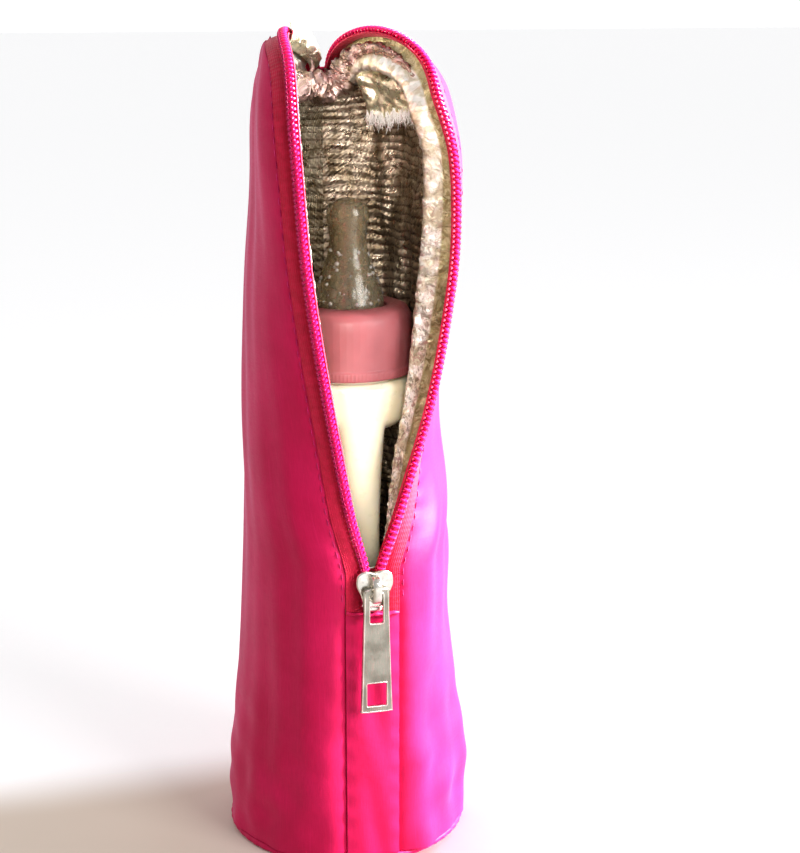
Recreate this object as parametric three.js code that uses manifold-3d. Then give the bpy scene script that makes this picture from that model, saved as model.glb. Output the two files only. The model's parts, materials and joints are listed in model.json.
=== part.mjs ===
// A baby bottle with a loop grip, standing in its insulated zip bag.
// Millimetres, +Z up, origin at the centre of the bag's base, zip facing -Y, +X to the bag's right.
import * as THREE from 'three';
import { mergeVertices } from 'three/addons/utils/BufferGeometryUtils.js';
import Module from 'manifold-3d';

const wasm = await Module();
wasm.setup();

// ---- Driving dimensions ----------------------------------------------------------------------
const GAP = 0.4;                       // clearance between pieces that touch

// The seam: up the front, then over the top in an arch, in the plane x = 0.
const FRONT_DEPTH = 36.5;              // seam to bag axis on the straight front run
const SEAM_START = 95;                 // height where the zip begins to part
const ARCH_BASE = 217;                 // height where the straight run becomes the arch
const ARCH_RADIUS = 34.5;
const ARCH_END = THREE.MathUtils.degToRad(143);
const ARCH_CENTRE_Y = ARCH_RADIUS - FRONT_DEPTH;
const RUN = ARCH_BASE - SEAM_START;
const SEAM_LENGTH = RUN + ARCH_RADIUS * ARCH_END;

// The zip, measured sideways from the seam.
const COIL_OFFSET = 2.1;
const COIL_RADIUS = 1.25;
const TAPE_INNER = 3.8;
const TAPE_OUTER = 8.0;
const TAPE_THICK = 0.6;
const STRIP_HALF = 8.0;                // half width of the front and back strips
const STRIP_CROWN = 0.3;
const PANEL_EDGE = STRIP_HALF + GAP;
const FACING = [4.6, 5.1];             // the facing's two faces, the same way
const RIDGE = THREE.MathUtils.degToRad(25);
const RIDGE_RUN = 40;                  // seam length over which the tape turns up into a ridge

// The wall, measured inward from its outer face.
const SHELL = [0, 1.1];
const FOAM = [1.5, 4.7];
const LINER = [5.1, 5.8];
const WALL_BOTTOM = 2.7;
const WALL_TOP = 250.6;
const BACK_DEPTH = 36.5;
const TOP_ROUND = 14;                  // height over which the wall's top closes in on the zip
const TOP_DROP = 1.2;                  // how far the wall's top edge lies under the tape

// The base.
const BASE_RADIUS = 35.2;
const BASE_THICK = 1.1;
const PIPING_CENTRE = 36.7;
const PIPING_RADIUS = 1.1;
const BOARD_RADIUS = 34.6;
const BOARD = [1.45, 2.35];
const PAD_RADIUS = 30.6;
const BASE_FOAM = [3.3, 7.1];
const BASE_LINER = [7.5, 8.3];

// How each side's zip edge stands open: turned about a leaning line inside the bag.
const LEAN = new THREE.Vector3(0, 0.3, 1).normalize();
const SIDES = {
  left: {
    sign: -1,
    pivot: new THREE.Vector3(-4, 4, 150),
    turn: [[0, 0], [18, 9.5], [45, 16], [85, 19.6], [130, 19], [152, 19.8], [178, 25.5], [190, 24.5],
           [SEAM_LENGTH, 0]],
    width: [[0, 37.7], [25, 37.3], [45, 35], [62, 33.3], [90, 32.2], [150, 30.3], [180, 28.6], [210, 27],
            [232, 26], [244, 24.6], [250, 23]],
  },
  right: {
    sign: 1,
    pivot: new THREE.Vector3(1, -6, 150),
    turn: [[0, 0], [18, 23], [48, 43], [85, 44], [112, 36], [138, 25.5], [155, 26.5], [172, 24], [190, 17],
           [SEAM_LENGTH, 0]],
    width: [[0, 37.7], [25, 37.3], [45, 34.6], [62, 32.6], [90, 31.6], [150, 31], [210, 31.2],
            [232, 30], [244, 27.5], [250, 25]],
  },
};

// The bottle.
const BOTTLE_X = 2;
const BOTTLE_Y = 1;
const BOTTLE_BASE = 9;
const BODY_RADIUS = 20;
const BODY_WALL = 1.8;
const TANK_TOP = 62;
const SHOULDER = [131, 147];
const NECK_RADIUS = 16.6;
const NECK_TOP = 164.4;
const LEG_REACH = 14.5;                // leg centre to bottle axis at mid height
const THREAD_PITCH = 4;
const THREAD_DEPTH = 1.1;
const RIDGE_ROOT = 0.8;                // half heights of the thread's ridge
const RIDGE_TIP = 0.35;
const NECK_TURNS = 2;
const COLLAR_RADIUS = 20;
const COLLAR = [148, 169];
const COLLAR_BORE = 18.3;
const COLLAR_HOLE = 11.6;
const COLLAR_TOP = 2;                  // thickness of the collar's top
const FLANGE_RADIUS = 16.4;
const TEAT_TOP = 201;
const BULB_RADIUS = 6.6;

// The slider and its pull.
const SLIDER = [85, 96];
const SLIDER_FRONT = [39.2, 37.8];     // front plate, as distances in front of the bag axis
const SLIDER_BACK = [35.2, 34.2];
const PIVOT_Y = -40.5;
const PIVOT_Z = 90.4;
const TAB_BOTTOM = 52;
const TAB_HALF = 0.65;
const STRIP_TOP = 82;

const COLOURS = {
  satin: 0xd4127c, tape: 0xb00d55, coil: 0xe0206f, foil: 0xb9b3a2, foam: 0xf2f0ea, board: 0xd9d4c8,
  metal: 0xc9c9cb, milk: 0xf3ead2, collar: 0xe98f9c, teat: 0xb7a692,
};

// ---- Small helpers ---------------------------------------------------------------------------
const object = new THREE.Group();
object.name = 'insulated_bottle_bag_with_bottle';

function material(colour, roughness = 0.6, metalness = 0) {
  return new THREE.MeshStandardMaterial({ color: colour, roughness, metalness });
}

function addPiece(name, geometry, look) {
  const mesh = new THREE.Mesh(geometry, look);
  mesh.name = name;
  object.add(mesh);
  return mesh;
}

// Smooth interpolation through a short list of [position, value] pairs.
function follow(points, at) {
  if (at <= points[0][0]) return points[0][1];
  const next = points.findIndex((point) => point[0] >= at);
  if (next < 0) return points[points.length - 1][1];
  const [from, low] = points[next - 1];
  const [to, high] = points[next];
  const t = (at - from) / (to - from);
  const slopeAt = (index) => {
    if (index === 0 || index === points.length - 1) return (high - low) / (to - from);
    const before = points[index - 1];
    const after = points[index + 1];
    return (after[1] - before[1]) / (after[0] - before[0]);
  };
  const span = to - from;
  const a = slopeAt(next - 1) * span;
  const b = slopeAt(next) * span;
  const cube = 2 * (low - high) + a + b;
  const square = 3 * (high - low) - 2 * a - b;
  return ((cube * t + square) * t + a) * t + low;
}

function toSolid(geometry) {
  const bare = geometry.clone();
  bare.deleteAttribute('normal');
  bare.deleteAttribute('uv');
  const merged = mergeVertices(bare, 1e-4);
  return new wasm.Manifold(new wasm.Mesh({
    numProp: 3,
    vertProperties: new Float32Array(merged.attributes.position.array),
    triVerts: new Uint32Array(merged.index.array),
  }));
}

function toGeometry(solid) {
  const mesh = solid.getMesh();
  const geometry = new THREE.BufferGeometry();
  geometry.setAttribute('position', new THREE.BufferAttribute(new Float32Array(mesh.vertProperties), 3));
  geometry.setIndex(new THREE.BufferAttribute(new Uint32Array(mesh.triVerts), 1));
  return geometry;
}

function combine(base, added, removed = []) {
  let solid = toSolid(base);
  for (const geometry of added) solid = solid.add(toSolid(geometry));
  for (const geometry of removed) solid = solid.subtract(toSolid(geometry));
  return toGeometry(solid);
}

// A closed body between two grids of points: grid[row][column] outside, grid[row][column] inside.
function sheetBody(outer, inner) {
  const rows = outer.length;
  const columns = outer[0].length;
  const positions = [];
  for (const grid of [outer, inner]) {
    for (const row of grid) {
      for (const point of row) positions.push(point.x, point.y, point.z);
    }
  }
  const out = (row, column) => row * columns + column;
  const inn = (row, column) => rows * columns + row * columns + column;
  const index = [];
  const quad = (a, b, c, d) => index.push(a, b, c, a, c, d);
  for (let row = 0; row < rows - 1; row += 1) {
    for (let column = 0; column < columns - 1; column += 1) {
      quad(out(row, column), out(row, column + 1), out(row + 1, column + 1), out(row + 1, column));
      quad(inn(row, column), inn(row + 1, column), inn(row + 1, column + 1), inn(row, column + 1));
    }
    quad(out(row, 0), out(row + 1, 0), inn(row + 1, 0), inn(row, 0));
    quad(out(row, columns - 1), inn(row, columns - 1), inn(row + 1, columns - 1), out(row + 1, columns - 1));
  }
  for (let column = 0; column < columns - 1; column += 1) {
    quad(out(0, column), inn(0, column), inn(0, column + 1), out(0, column + 1));
    quad(out(rows - 1, column), out(rows - 1, column + 1), inn(rows - 1, column + 1), inn(rows - 1, column));
  }
  const geometry = new THREE.BufferGeometry();
  geometry.setAttribute('position', new THREE.Float32BufferAttribute(positions, 3));
  geometry.setIndex(index);
  return facingOut(geometry);
}

// A closed body through rings of points, capped flat at both ends.
function ringBody(rings) {
  const sides = rings[0].length;
  const positions = rings.flat().flatMap((point) => [point.x, point.y, point.z]);
  const index = [];
  for (let ring = 0; ring < rings.length - 1; ring += 1) {
    for (let side = 0; side < sides; side += 1) {
      const a = ring * sides + side;
      const b = ring * sides + ((side + 1) % sides);
      index.push(a, b, b + sides, a, b + sides, a + sides);
    }
  }
  const last = (rings.length - 1) * sides;
  for (let side = 1; side < sides - 1; side += 1) {
    index.push(0, side + 1, side);
    index.push(last, last + side, last + side + 1);
  }
  const geometry = new THREE.BufferGeometry();
  geometry.setAttribute('position', new THREE.Float32BufferAttribute(positions, 3));
  geometry.setIndex(index);
  return facingOut(geometry);
}

// Turns every face over if the body came out inside out.
function facingOut(geometry) {
  const p = geometry.attributes.position;
  const index = geometry.index.array;
  const corner = (at) => new THREE.Vector3().fromBufferAttribute(p, index[at]);
  let volume = 0;
  for (let at = 0; at < index.length; at += 3) {
    volume += corner(at).dot(corner(at + 1).cross(corner(at + 2)));
  }
  if (volume < 0) {
    for (let at = 0; at < index.length; at += 3) {
      [index[at + 1], index[at + 2]] = [index[at + 2], index[at + 1]];
    }
  }
  return geometry;
}

// A lathe about +Z from [radius, height] pairs that close on the axis or on themselves.
function turned(profile, segments = 28) {
  const points = profile.map(([radius, height]) => new THREE.Vector2(radius, height));
  const geometry = new THREE.LatheGeometry(points, segments);
  geometry.rotateX(Math.PI / 2);
  const bare = geometry.clone();
  bare.deleteAttribute('normal');
  bare.deleteAttribute('uv');
  return facingOut(dropSlivers(mergeVertices(bare, 1e-4)));
}

function dropSlivers(geometry) {
  const index = geometry.index.array;
  const kept = [];
  for (let at = 0; at < index.length; at += 3) {
    const [a, b, c] = [index[at], index[at + 1], index[at + 2]];
    if (a !== b && b !== c && c !== a) kept.push(a, b, c);
  }
  geometry.setIndex(kept);
  return geometry;
}

function disc(radius, low, high, segments = 40) {
  return turned([[0, low], [radius, low], [radius, high], [0, high]], segments);
}

// ---- The seam and the open edges -------------------------------------------------------------
// A point of the closed seam at arc length s, with its outward normal.
function seam(s) {
  if (s <= RUN) {
    return { at: new THREE.Vector3(0, -FRONT_DEPTH, SEAM_START + s), out: new THREE.Vector3(0, -1, 0) };
  }
  const angle = (s - RUN) / ARCH_RADIUS;
  const out = new THREE.Vector3(0, -Math.cos(angle), Math.sin(angle));
  const at = out.clone().multiplyScalar(ARCH_RADIUS).add(new THREE.Vector3(0, ARCH_CENTRE_Y, ARCH_BASE));
  return { at, out };
}

function ridgeAt(s) {
  const ends = Math.min(s, SEAM_LENGTH - s);
  return RIDGE * THREE.MathUtils.smoothstep(ends, 0, RIDGE_RUN);
}

// The opened place of a point that lies a given distance sideways from the seam.
function edgePoint(side, s, offset, lift = 0) {
  const { at, out } = seam(s);
  const ridge = ridgeAt(s);
  const point = at.clone();
  point.x += side.sign * (offset * Math.cos(ridge) + lift * Math.sin(ridge));
  point.addScaledVector(out, lift * Math.cos(ridge) - offset * Math.sin(ridge));
  return opened(side, s, point);
}

function opened(side, s, point) {
  const turn = THREE.MathUtils.degToRad(follow(side.turn, THREE.MathUtils.clamp(s, 0, SEAM_LENGTH)));
  return point.sub(side.pivot).applyAxisAngle(LEAN, side.sign * turn).add(side.pivot);
}

// Front and back arc lengths of the seam at a height of the closed bag.
function frontSeam(height) {
  if (height <= ARCH_BASE) return height - SEAM_START;
  return RUN + ARCH_RADIUS * Math.asin((height - ARCH_BASE) / ARCH_RADIUS);
}

function backSeam(height) {
  return RUN + ARCH_RADIUS * (Math.PI - Math.asin((height - ARCH_BASE) / ARCH_RADIUS));
}

function backPoint(side, height, offset) {
  if (height > ARCH_BASE) {
    const s = backSeam(height);
    if (s < SEAM_LENGTH) return edgePoint(side, s, offset);
    const { at } = seam(s);
    at.x = side.sign * offset;
    return at;
  }
  const rise = THREE.MathUtils.smoothstep(height, 0, ARCH_BASE);
  const depth = THREE.MathUtils.lerp(BACK_DEPTH, ARCH_RADIUS + ARCH_CENTRE_Y, rise);
  return new THREE.Vector3(side.sign * offset, depth, height);
}

// The way into the bag from its back centre line.
function backInward(height) {
  if (height <= ARCH_BASE) return new THREE.Vector3(0, -1, 0);
  const angle = Math.asin((height - ARCH_BASE) / ARCH_RADIUS);
  return new THREE.Vector3(0, -Math.cos(angle), -Math.sin(angle));
}

function frontPoint(side, height, offset) {
  const s = frontSeam(height);
  if (s >= 0) return edgePoint(side, s, offset);
  return new THREE.Vector3(side.sign * offset, -FRONT_DEPTH, height);
}

// ---- The side walls ---------------------------------------------------------------------------
const LINED_ROWS = 16;                 // levels that the lining and the back strip reach
const LINING_TOP = 236;
const WALL_COLUMNS = 11;
const ROUNDNESS = 0.51;                // 0.55 would make each quarter of a level an ellipse

const LINING_NOTCH = STRIP_TOP - 4;    // the lining leaves room for the slider above this height
const LINING_EDGE = PANEL_EDGE - 0.3;

const LINED_HEIGHTS = Array.from({ length: LINED_ROWS }, (_, row) => (
  THREE.MathUtils.lerp(WALL_BOTTOM, LINING_TOP, Math.pow(row / (LINED_ROWS - 1), 0.92))));
const WALL_HEIGHTS = [...LINED_HEIGHTS, 241, 245.5, 249, WALL_TOP];

// One level of the wall's outer face, from its front edge round the side to its back edge. It leaves
// both edges in line with the strip or tape there, but turns in behind the open zip, and it runs fore
// and aft at the side. The last levels close in on the zip's edge over the top.
function wallRow(side, height) {
  const front = frontPoint(side, height, PANEL_EDGE);
  const back = backPoint(side, height, PANEL_EDGE);
  const edges = Math.max(side.sign * front.x, side.sign * back.x);
  const widest = Math.max(follow(side.width, height), edges + GAP);
  const middle = new THREE.Vector3(side.sign * widest, (front.y + back.y) / 2, (front.z + back.z) / 2);
  const turnIn = 0.35 * THREE.MathUtils.smoothstep(height, SEAM_START, ARCH_BASE);
  const fromFront = front.clone().sub(frontPoint(side, height, TAPE_INNER)).normalize()
    .lerp(middle.clone().sub(front).normalize(), turnIn).normalize();
  const fromBack = back.clone().sub(backPoint(side, height, TAPE_INNER)).normalize();
  const quarter = (end, away) => {
    const reach = middle.clone().sub(end);
    const first = end.clone().addScaledVector(away, ROUNDNESS * Math.abs(reach.dot(away)));
    const second = middle.clone().setY(middle.y - ROUNDNESS * reach.y);
    return new THREE.CubicBezierCurve3(end, first, second, middle).getSpacedPoints((WALL_COLUMNS - 1) / 2);
  };
  const row = [...quarter(front, fromFront), ...quarter(back, fromBack).reverse().slice(1)];
  const open = THREE.MathUtils.smoothstep(WALL_TOP - height, 0, TOP_ROUND);
  if (open === 1) return row;
  return row.map((point, column) => {
    const s = THREE.MathUtils.lerp(frontSeam(height), backSeam(height), column / (WALL_COLUMNS - 1));
    return edgePoint(side, s, PANEL_EDGE, -TOP_DROP).lerp(point, open);
  });
}

function inwardNormals(side, grid) {
  const at = (row, column) => grid[THREE.MathUtils.clamp(row, 0, grid.length - 1)][
    THREE.MathUtils.clamp(column, 0, grid[0].length - 1)];
  return grid.map((points, row) => points.map((point, column) => {
    const along = at(row, column + 1).clone().sub(at(row, column - 1));
    const up = at(row + 1, column).clone().sub(at(row - 1, column));
    return up.cross(along).normalize().multiplyScalar(side.sign);
  }));
}

// A layer of the wall. A lined layer also reaches across behind the front and back strips, and
// stops below the seam's top.
function wallPiece(side, depths, lined) {
  const levels = lined ? LINED_ROWS : WALL_HEIGHTS.length;
  const wall = WALL_HEIGHTS.map((height) => wallRow(side, height));
  const normals = inwardNormals(side, wall).slice(0, levels);
  const grid = wall.slice(0, levels);
  if (lined) {
    grid.forEach((points, row) => {
      const height = WALL_HEIGHTS[row];
      const crossesFront = height < LINING_NOTCH;
      points.unshift(frontPoint(side, height, crossesFront ? GAP : LINING_EDGE));
      points.push(backPoint(side, height, GAP));
      normals[row].unshift(crossesFront ? new THREE.Vector3(0, 1, 0) : normals[row][0]);
      normals[row].push(backInward(height));
    });
  }
  const offset = (depth) => grid.map((points, row) => points.map(
    (point, column) => point.clone().addScaledVector(normals[row][column], depth)));
  return sheetBody(offset(depths[0]), offset(depths[1]));
}

for (const [name, side] of Object.entries(SIDES)) {
  addPiece(`${name}_side_panel`, wallPiece(side, SHELL, false), material(COLOURS.satin, 0.45));
  addPiece(`${name}_foam`, wallPiece(side, FOAM, true), material(COLOURS.foam, 0.9));
  addPiece(`${name}_liner`, wallPiece(side, LINER, true), material(COLOURS.foil, 0.3, 0.9));
}

// ---- Front and back strips --------------------------------------------------------------------
function stripBody(heights, place) {
  const columns = [-1, -0.5, 0, 0.5, 1];
  const layer = (depth) => heights.map((height) => columns.map((across) => place(height, across, depth)));
  return sheetBody(layer(0), layer(SHELL[1]));
}

function frontStripPoint(height, across, depth) {
  const crown = STRIP_CROWN * (1 - across * across);
  return new THREE.Vector3(across * STRIP_HALF, depth - FRONT_DEPTH - crown, height);
}

function backStripPoint(height, across, depth) {
  const point = backPoint(SIDES.right, height, 0).addScaledVector(backInward(height), depth);
  return point.setX(across * STRIP_HALF);
}

const frontHeights = [WALL_BOTTOM, 22, 42, 62, STRIP_TOP];
addPiece('front_strip', stripBody(frontHeights, frontStripPoint), material(COLOURS.satin, 0.45));
addPiece('back_strip', stripBody(LINED_HEIGHTS, backStripPoint), material(COLOURS.satin, 0.45));

// ---- Base -------------------------------------------------------------------------------------
addPiece('base_panel', disc(BASE_RADIUS, 0, BASE_THICK), material(COLOURS.satin, 0.5));
const PIPING_CORNERS = 8;
const pipingRound = Array.from({ length: PIPING_CORNERS + 1 }, (_, step) => {
  const angle = (step / PIPING_CORNERS) * Math.PI * 2;
  return [PIPING_CENTRE + PIPING_RADIUS * Math.cos(angle), PIPING_RADIUS * (1 + Math.sin(angle))];
});
addPiece('base_piping', turned(pipingRound, 40), material(COLOURS.satin, 0.5));
addPiece('base_board', disc(BOARD_RADIUS, BOARD[0], BOARD[1]), material(COLOURS.board, 0.8));
addPiece('base_foam', disc(PAD_RADIUS, BASE_FOAM[0], BASE_FOAM[1], 32), material(COLOURS.foam, 0.9));
addPiece('base_liner', disc(PAD_RADIUS, BASE_LINER[0], BASE_LINER[1], 32), material(COLOURS.foil, 0.3, 0.9));

// ---- Zip: tapes, coils and stops ----------------------------------------------------------------
const ZIP_STEPS = 26;
const ZIP_START = 1.6;
const COIL_CORNERS = 6;
const FACING_LIFTS = [-0.9, -3.5, -6.1];
const FACING_ENDS = [5, SEAM_LENGTH - 8];

function alongZip(step) {
  return THREE.MathUtils.lerp(ZIP_START, SEAM_LENGTH - 1, step / ZIP_STEPS);
}

function eachZipStep(make) {
  return Array.from({ length: ZIP_STEPS + 1 }, (_, step) => make(step));
}

function tapeBody(side) {
  const layer = (lift) => eachZipStep((step) => [TAPE_INNER, TAPE_OUTER].map(
    (offset) => edgePoint(side, alongZip(step), offset, lift)));
  return sheetBody(layer(TAPE_THICK / 2), layer(-TAPE_THICK / 2));
}

function coilBody(side) {
  const corners = Array.from({ length: COIL_CORNERS }, (_, corner) => (corner / COIL_CORNERS) * Math.PI * 2);
  return ringBody(eachZipStep((step) => corners.map((angle) => {
    const offset = COIL_OFFSET + COIL_RADIUS * Math.cos(angle);
    return edgePoint(side, alongZip(step), offset, COIL_RADIUS * Math.sin(angle));
  })));
}

// The foil strip that closes the edge of the wall behind the tape.
function facingBody(side) {
  const layer = (offset) => eachZipStep((step) => {
    const s = THREE.MathUtils.lerp(FACING_ENDS[0], FACING_ENDS[1], step / ZIP_STEPS);
    return FACING_LIFTS.map((lift) => edgePoint(side, s, offset, lift));
  });
  return sheetBody(layer(FACING[0]), layer(FACING[1]));
}

for (const [name, side] of Object.entries(SIDES)) {
  addPiece(`${name}_zip_facing`, facingBody(side), material(COLOURS.foil, 0.3, 0.9));
  addPiece(`${name}_zip_tape`, tapeBody(side), material(COLOURS.tape, 0.7));
  addPiece(`${name}_zip_coil`, coilBody(side), material(COLOURS.coil, 0.35));
}

function box(width, depth, height, x, y, z) {
  const geometry = new THREE.BoxGeometry(width, depth, height);
  geometry.translate(x, y, z);
  return geometry;
}

function topStopBody() {
  const stop = box(6, 1.4, 1.4, 0, 0, 0);
  const { at, out } = seam(SEAM_LENGTH + 0.6);
  at.addScaledVector(out, 0.3);
  stop.rotateX(ARCH_END - Math.PI);
  stop.translate(at.x, at.y, at.z);
  return stop;
}

const bottomStop = box(5.4, 1.8, 1.8, 0, -FRONT_DEPTH, STRIP_TOP + 1.4);
addPiece('zip_bottom_stop', bottomStop, material(COLOURS.metal, 0.35, 1));
addPiece('zip_top_stop', topStopBody(), material(COLOURS.metal, 0.35, 1));

// ---- Slider and pull ---------------------------------------------------------------------------
function plateShape(wide, narrow) {
  const shape = new THREE.Shape();
  const height = SLIDER[1] - SLIDER[0];
  shape.moveTo(-narrow, 0);
  shape.lineTo(narrow, 0);
  shape.bezierCurveTo(narrow + 0.4, height * 0.4, wide, height * 0.45, wide, height * 0.72);
  shape.quadraticCurveTo(wide, height * 0.98, wide * 0.45, height);
  shape.lineTo(0.9, height * 0.93);
  shape.lineTo(-0.9, height * 0.93);
  shape.lineTo(-wide * 0.45, height);
  shape.quadraticCurveTo(-wide, height * 0.98, -wide, height * 0.72);
  shape.bezierCurveTo(-wide, height * 0.45, -narrow - 0.4, height * 0.4, -narrow, 0);
  return shape;
}

// An outline in the X-Z plane made into a plate between two distances in front of the bag axis.
function plate(shape, front, back, low) {
  const depth = front - back;
  const geometry = new THREE.ExtrudeGeometry(shape, { depth, bevelEnabled: false, curveSegments: 6 });
  geometry.rotateX(Math.PI / 2);
  geometry.translate(0, -back, low);
  return geometry;
}

const frontPlate = plate(plateShape(5.6, 3.7), SLIDER_FRONT[0], SLIDER_FRONT[1], SLIDER[0]);
const backPlate = plate(plateShape(5.2, 3.5), SLIDER_BACK[0], SLIDER_BACK[1], SLIDER[0]);
const throat = SLIDER_FRONT[1] - SLIDER_BACK[0];
const diamond = box(0.9, throat + 1, 3, 0, -SLIDER_BACK[0] - throat / 2, SLIDER[1] - 3.2);
addPiece('slider_body', combine(frontPlate, [diamond, backPlate]), material(COLOURS.metal, 0.3, 1));

// The bridge: a bow that holds the pull's top bar against the slider. Its outline has the distance
// in front of the slider's face first and the height above the slider's lower end second.
const BRIDGE_HALF = 1.3;
function bridgeBody() {
  const shape = new THREE.Shape();
  shape.moveTo(0, 1.2);
  shape.quadraticCurveTo(3.6, 1.4, 3.8, 4.4);
  shape.lineTo(3.8, 6.6);
  shape.quadraticCurveTo(3.6, 9.6, 0, 9.9);
  shape.lineTo(0, 8.2);
  shape.quadraticCurveTo(2.5, 8, 2.7, 6.4);
  shape.lineTo(2.7, 4.5);
  shape.quadraticCurveTo(2.5, 3, 0, 2.8);
  const depth = BRIDGE_HALF * 2;
  const geometry = new THREE.ExtrudeGeometry(shape, { depth, bevelEnabled: false, curveSegments: 4 });
  geometry.translate(SLIDER_FRONT[0] + 0.3, SLIDER[0], 0);
  geometry.rotateX(Math.PI / 2);
  geometry.rotateZ(-Math.PI / 2);
  geometry.translate(BRIDGE_HALF, 0, 0);
  return geometry;
}
addPiece('slider_bridge', bridgeBody(), material(COLOURS.metal, 0.3, 1));

function windowPath(half, low, high) {
  const path = new THREE.Path();
  path.moveTo(-half, low);
  path.lineTo(-half, high);
  path.lineTo(half, high);
  path.lineTo(half, low);
  return path;
}

function pullShape() {
  const top = PIVOT_Z + 0.7;
  const shape = new THREE.Shape();
  shape.moveTo(-4.8, TAB_BOTTOM + 0.8);
  shape.lineTo(-4.2, TAB_BOTTOM);
  shape.lineTo(4.2, TAB_BOTTOM);
  shape.lineTo(4.8, TAB_BOTTOM + 0.8);
  shape.lineTo(3.6, top - 0.8);
  shape.lineTo(3, top);
  shape.lineTo(-3, top);
  shape.lineTo(-3.6, top - 0.8);
  shape.holes.push(windowPath(2.1, PIVOT_Z - 9.5, PIVOT_Z - 0.8));
  shape.holes.push(windowPath(3.3, TAB_BOTTOM + 1.6, TAB_BOTTOM + 8.6));
  return shape;
}
const pullBody = plate(pullShape(), -PIVOT_Y + TAB_HALF, -PIVOT_Y - TAB_HALF, 0);
addPiece('pull_tab', pullBody, material(COLOURS.metal, 0.25, 1));

// ---- Bottle --------------------------------------------------------------------------------------
const bottle = new THREE.Group();
bottle.position.set(BOTTLE_X, BOTTLE_Y, 0);
object.add(bottle);

function addToBottle(name, geometry, look) {
  const mesh = new THREE.Mesh(geometry, look);
  mesh.name = name;
  bottle.add(mesh);
}

// A helical ridge of trapezoid section on a cylinder; root is where it grows from, tip where it ends.
function threadRidge(root, tip, low, turns) {
  const steps = Math.round(turns * 16);
  return ringBody(Array.from({ length: steps + 1 }, (_, step) => {
    const angle = (step / steps) * turns * Math.PI * 2;
    const height = low + (angle / (Math.PI * 2)) * THREAD_PITCH;
    const taper = THREE.MathUtils.clamp(Math.min(step, steps - step) / 3, 0.25, 1);
    const reach = THREE.MathUtils.lerp(root, tip, taper);
    const section = [[root, -RIDGE_ROOT], [reach, -RIDGE_TIP], [reach, RIDGE_TIP], [root, RIDGE_ROOT]];
    return section.map(([radius, lift]) => (
      new THREE.Vector3(radius * Math.cos(angle), radius * Math.sin(angle), height + lift)));
  }));
}

// One leg of the loop grip: an oval tube that bows inward between the tank and the shoulder.
function legBody(direction, shrink) {
  const low = TANK_TOP - 14 + shrink;
  const high = SHOULDER[1] - 1 - shrink;
  const rings = 11;
  const corners = 14;
  return ringBody(Array.from({ length: rings }, (_, ring) => {
    const t = ring / (rings - 1);
    const waist = Math.sin(t * Math.PI);
    const halfWide = THREE.MathUtils.lerp(8.6, 5.9, waist) - shrink;
    const halfDeep = THREE.MathUtils.lerp(5.4, 4.9, waist) - shrink;
    const reach = LEG_REACH + THREE.MathUtils.lerp(-1.6, 1.4, t) * (1 - waist);
    const height = THREE.MathUtils.lerp(low, high, t);
    return Array.from({ length: corners }, (__, corner) => {
      const angle = (corner / corners) * Math.PI * 2;
      const fore = direction * reach + halfDeep * Math.sin(angle);
      return new THREE.Vector3(halfWide * Math.cos(angle), fore, height);
    });
  }));
}

// Bottle profiles: each point is [radius, height].
const BORE = NECK_RADIUS - BODY_WALL;
const tankOutside = turned([
  [0, BOTTLE_BASE],
  [BODY_RADIUS - 3, BOTTLE_BASE],
  [BODY_RADIUS - 0.8, BOTTLE_BASE + 1],
  [BODY_RADIUS, BOTTLE_BASE + 3.4],
  [BODY_RADIUS, TANK_TOP - 9],
  [BODY_RADIUS - 1.6, TANK_TOP - 3.6],
  [BODY_RADIUS - 7, TANK_TOP],
  [0, TANK_TOP + 0.6],
]);
const tankInside = turned([
  [0, BOTTLE_BASE + BODY_WALL],
  [BODY_RADIUS - 3.6, BOTTLE_BASE + BODY_WALL],
  [BODY_RADIUS - BODY_WALL, BOTTLE_BASE + 5],
  [BODY_RADIUS - BODY_WALL, TANK_TOP - 9.6],
  [BODY_RADIUS - 7.4, TANK_TOP - BODY_WALL],
  [0, TANK_TOP - BODY_WALL],
]);
const shoulderOutside = turned([
  [0, SHOULDER[0]],
  [BODY_RADIUS - 6, SHOULDER[0]],
  [BODY_RADIUS - 1.2, SHOULDER[0] + 3.4],
  [BODY_RADIUS - 0.3, SHOULDER[0] + 8],
  [BODY_RADIUS - 0.3, SHOULDER[1] - 1.4],
  [BODY_RADIUS - 1.5, SHOULDER[1]],
  [NECK_RADIUS, SHOULDER[1]],
  [NECK_RADIUS, NECK_TOP],
  [0, NECK_TOP],
]);
const shoulderInside = turned([
  [0, SHOULDER[0] + BODY_WALL],
  [BODY_RADIUS - 6.4, SHOULDER[0] + BODY_WALL],
  [BODY_RADIUS - 2.4, SHOULDER[0] + 8],
  [BORE, SHOULDER[1] - 1.6],
  [BORE, NECK_TOP + 2],
  [0, NECK_TOP + 2],
]);
const neckThread = threadRidge(NECK_RADIUS - 0.6, NECK_RADIUS + THREAD_DEPTH, 152.5, NECK_TURNS);
addToBottle('bottle_body', combine(tankOutside,
  [legBody(-1, 0), legBody(1, 0), shoulderOutside, neckThread],
  [tankInside, legBody(-1, BODY_WALL), legBody(1, BODY_WALL), shoulderInside]), material(COLOURS.milk, 0.35));

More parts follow.
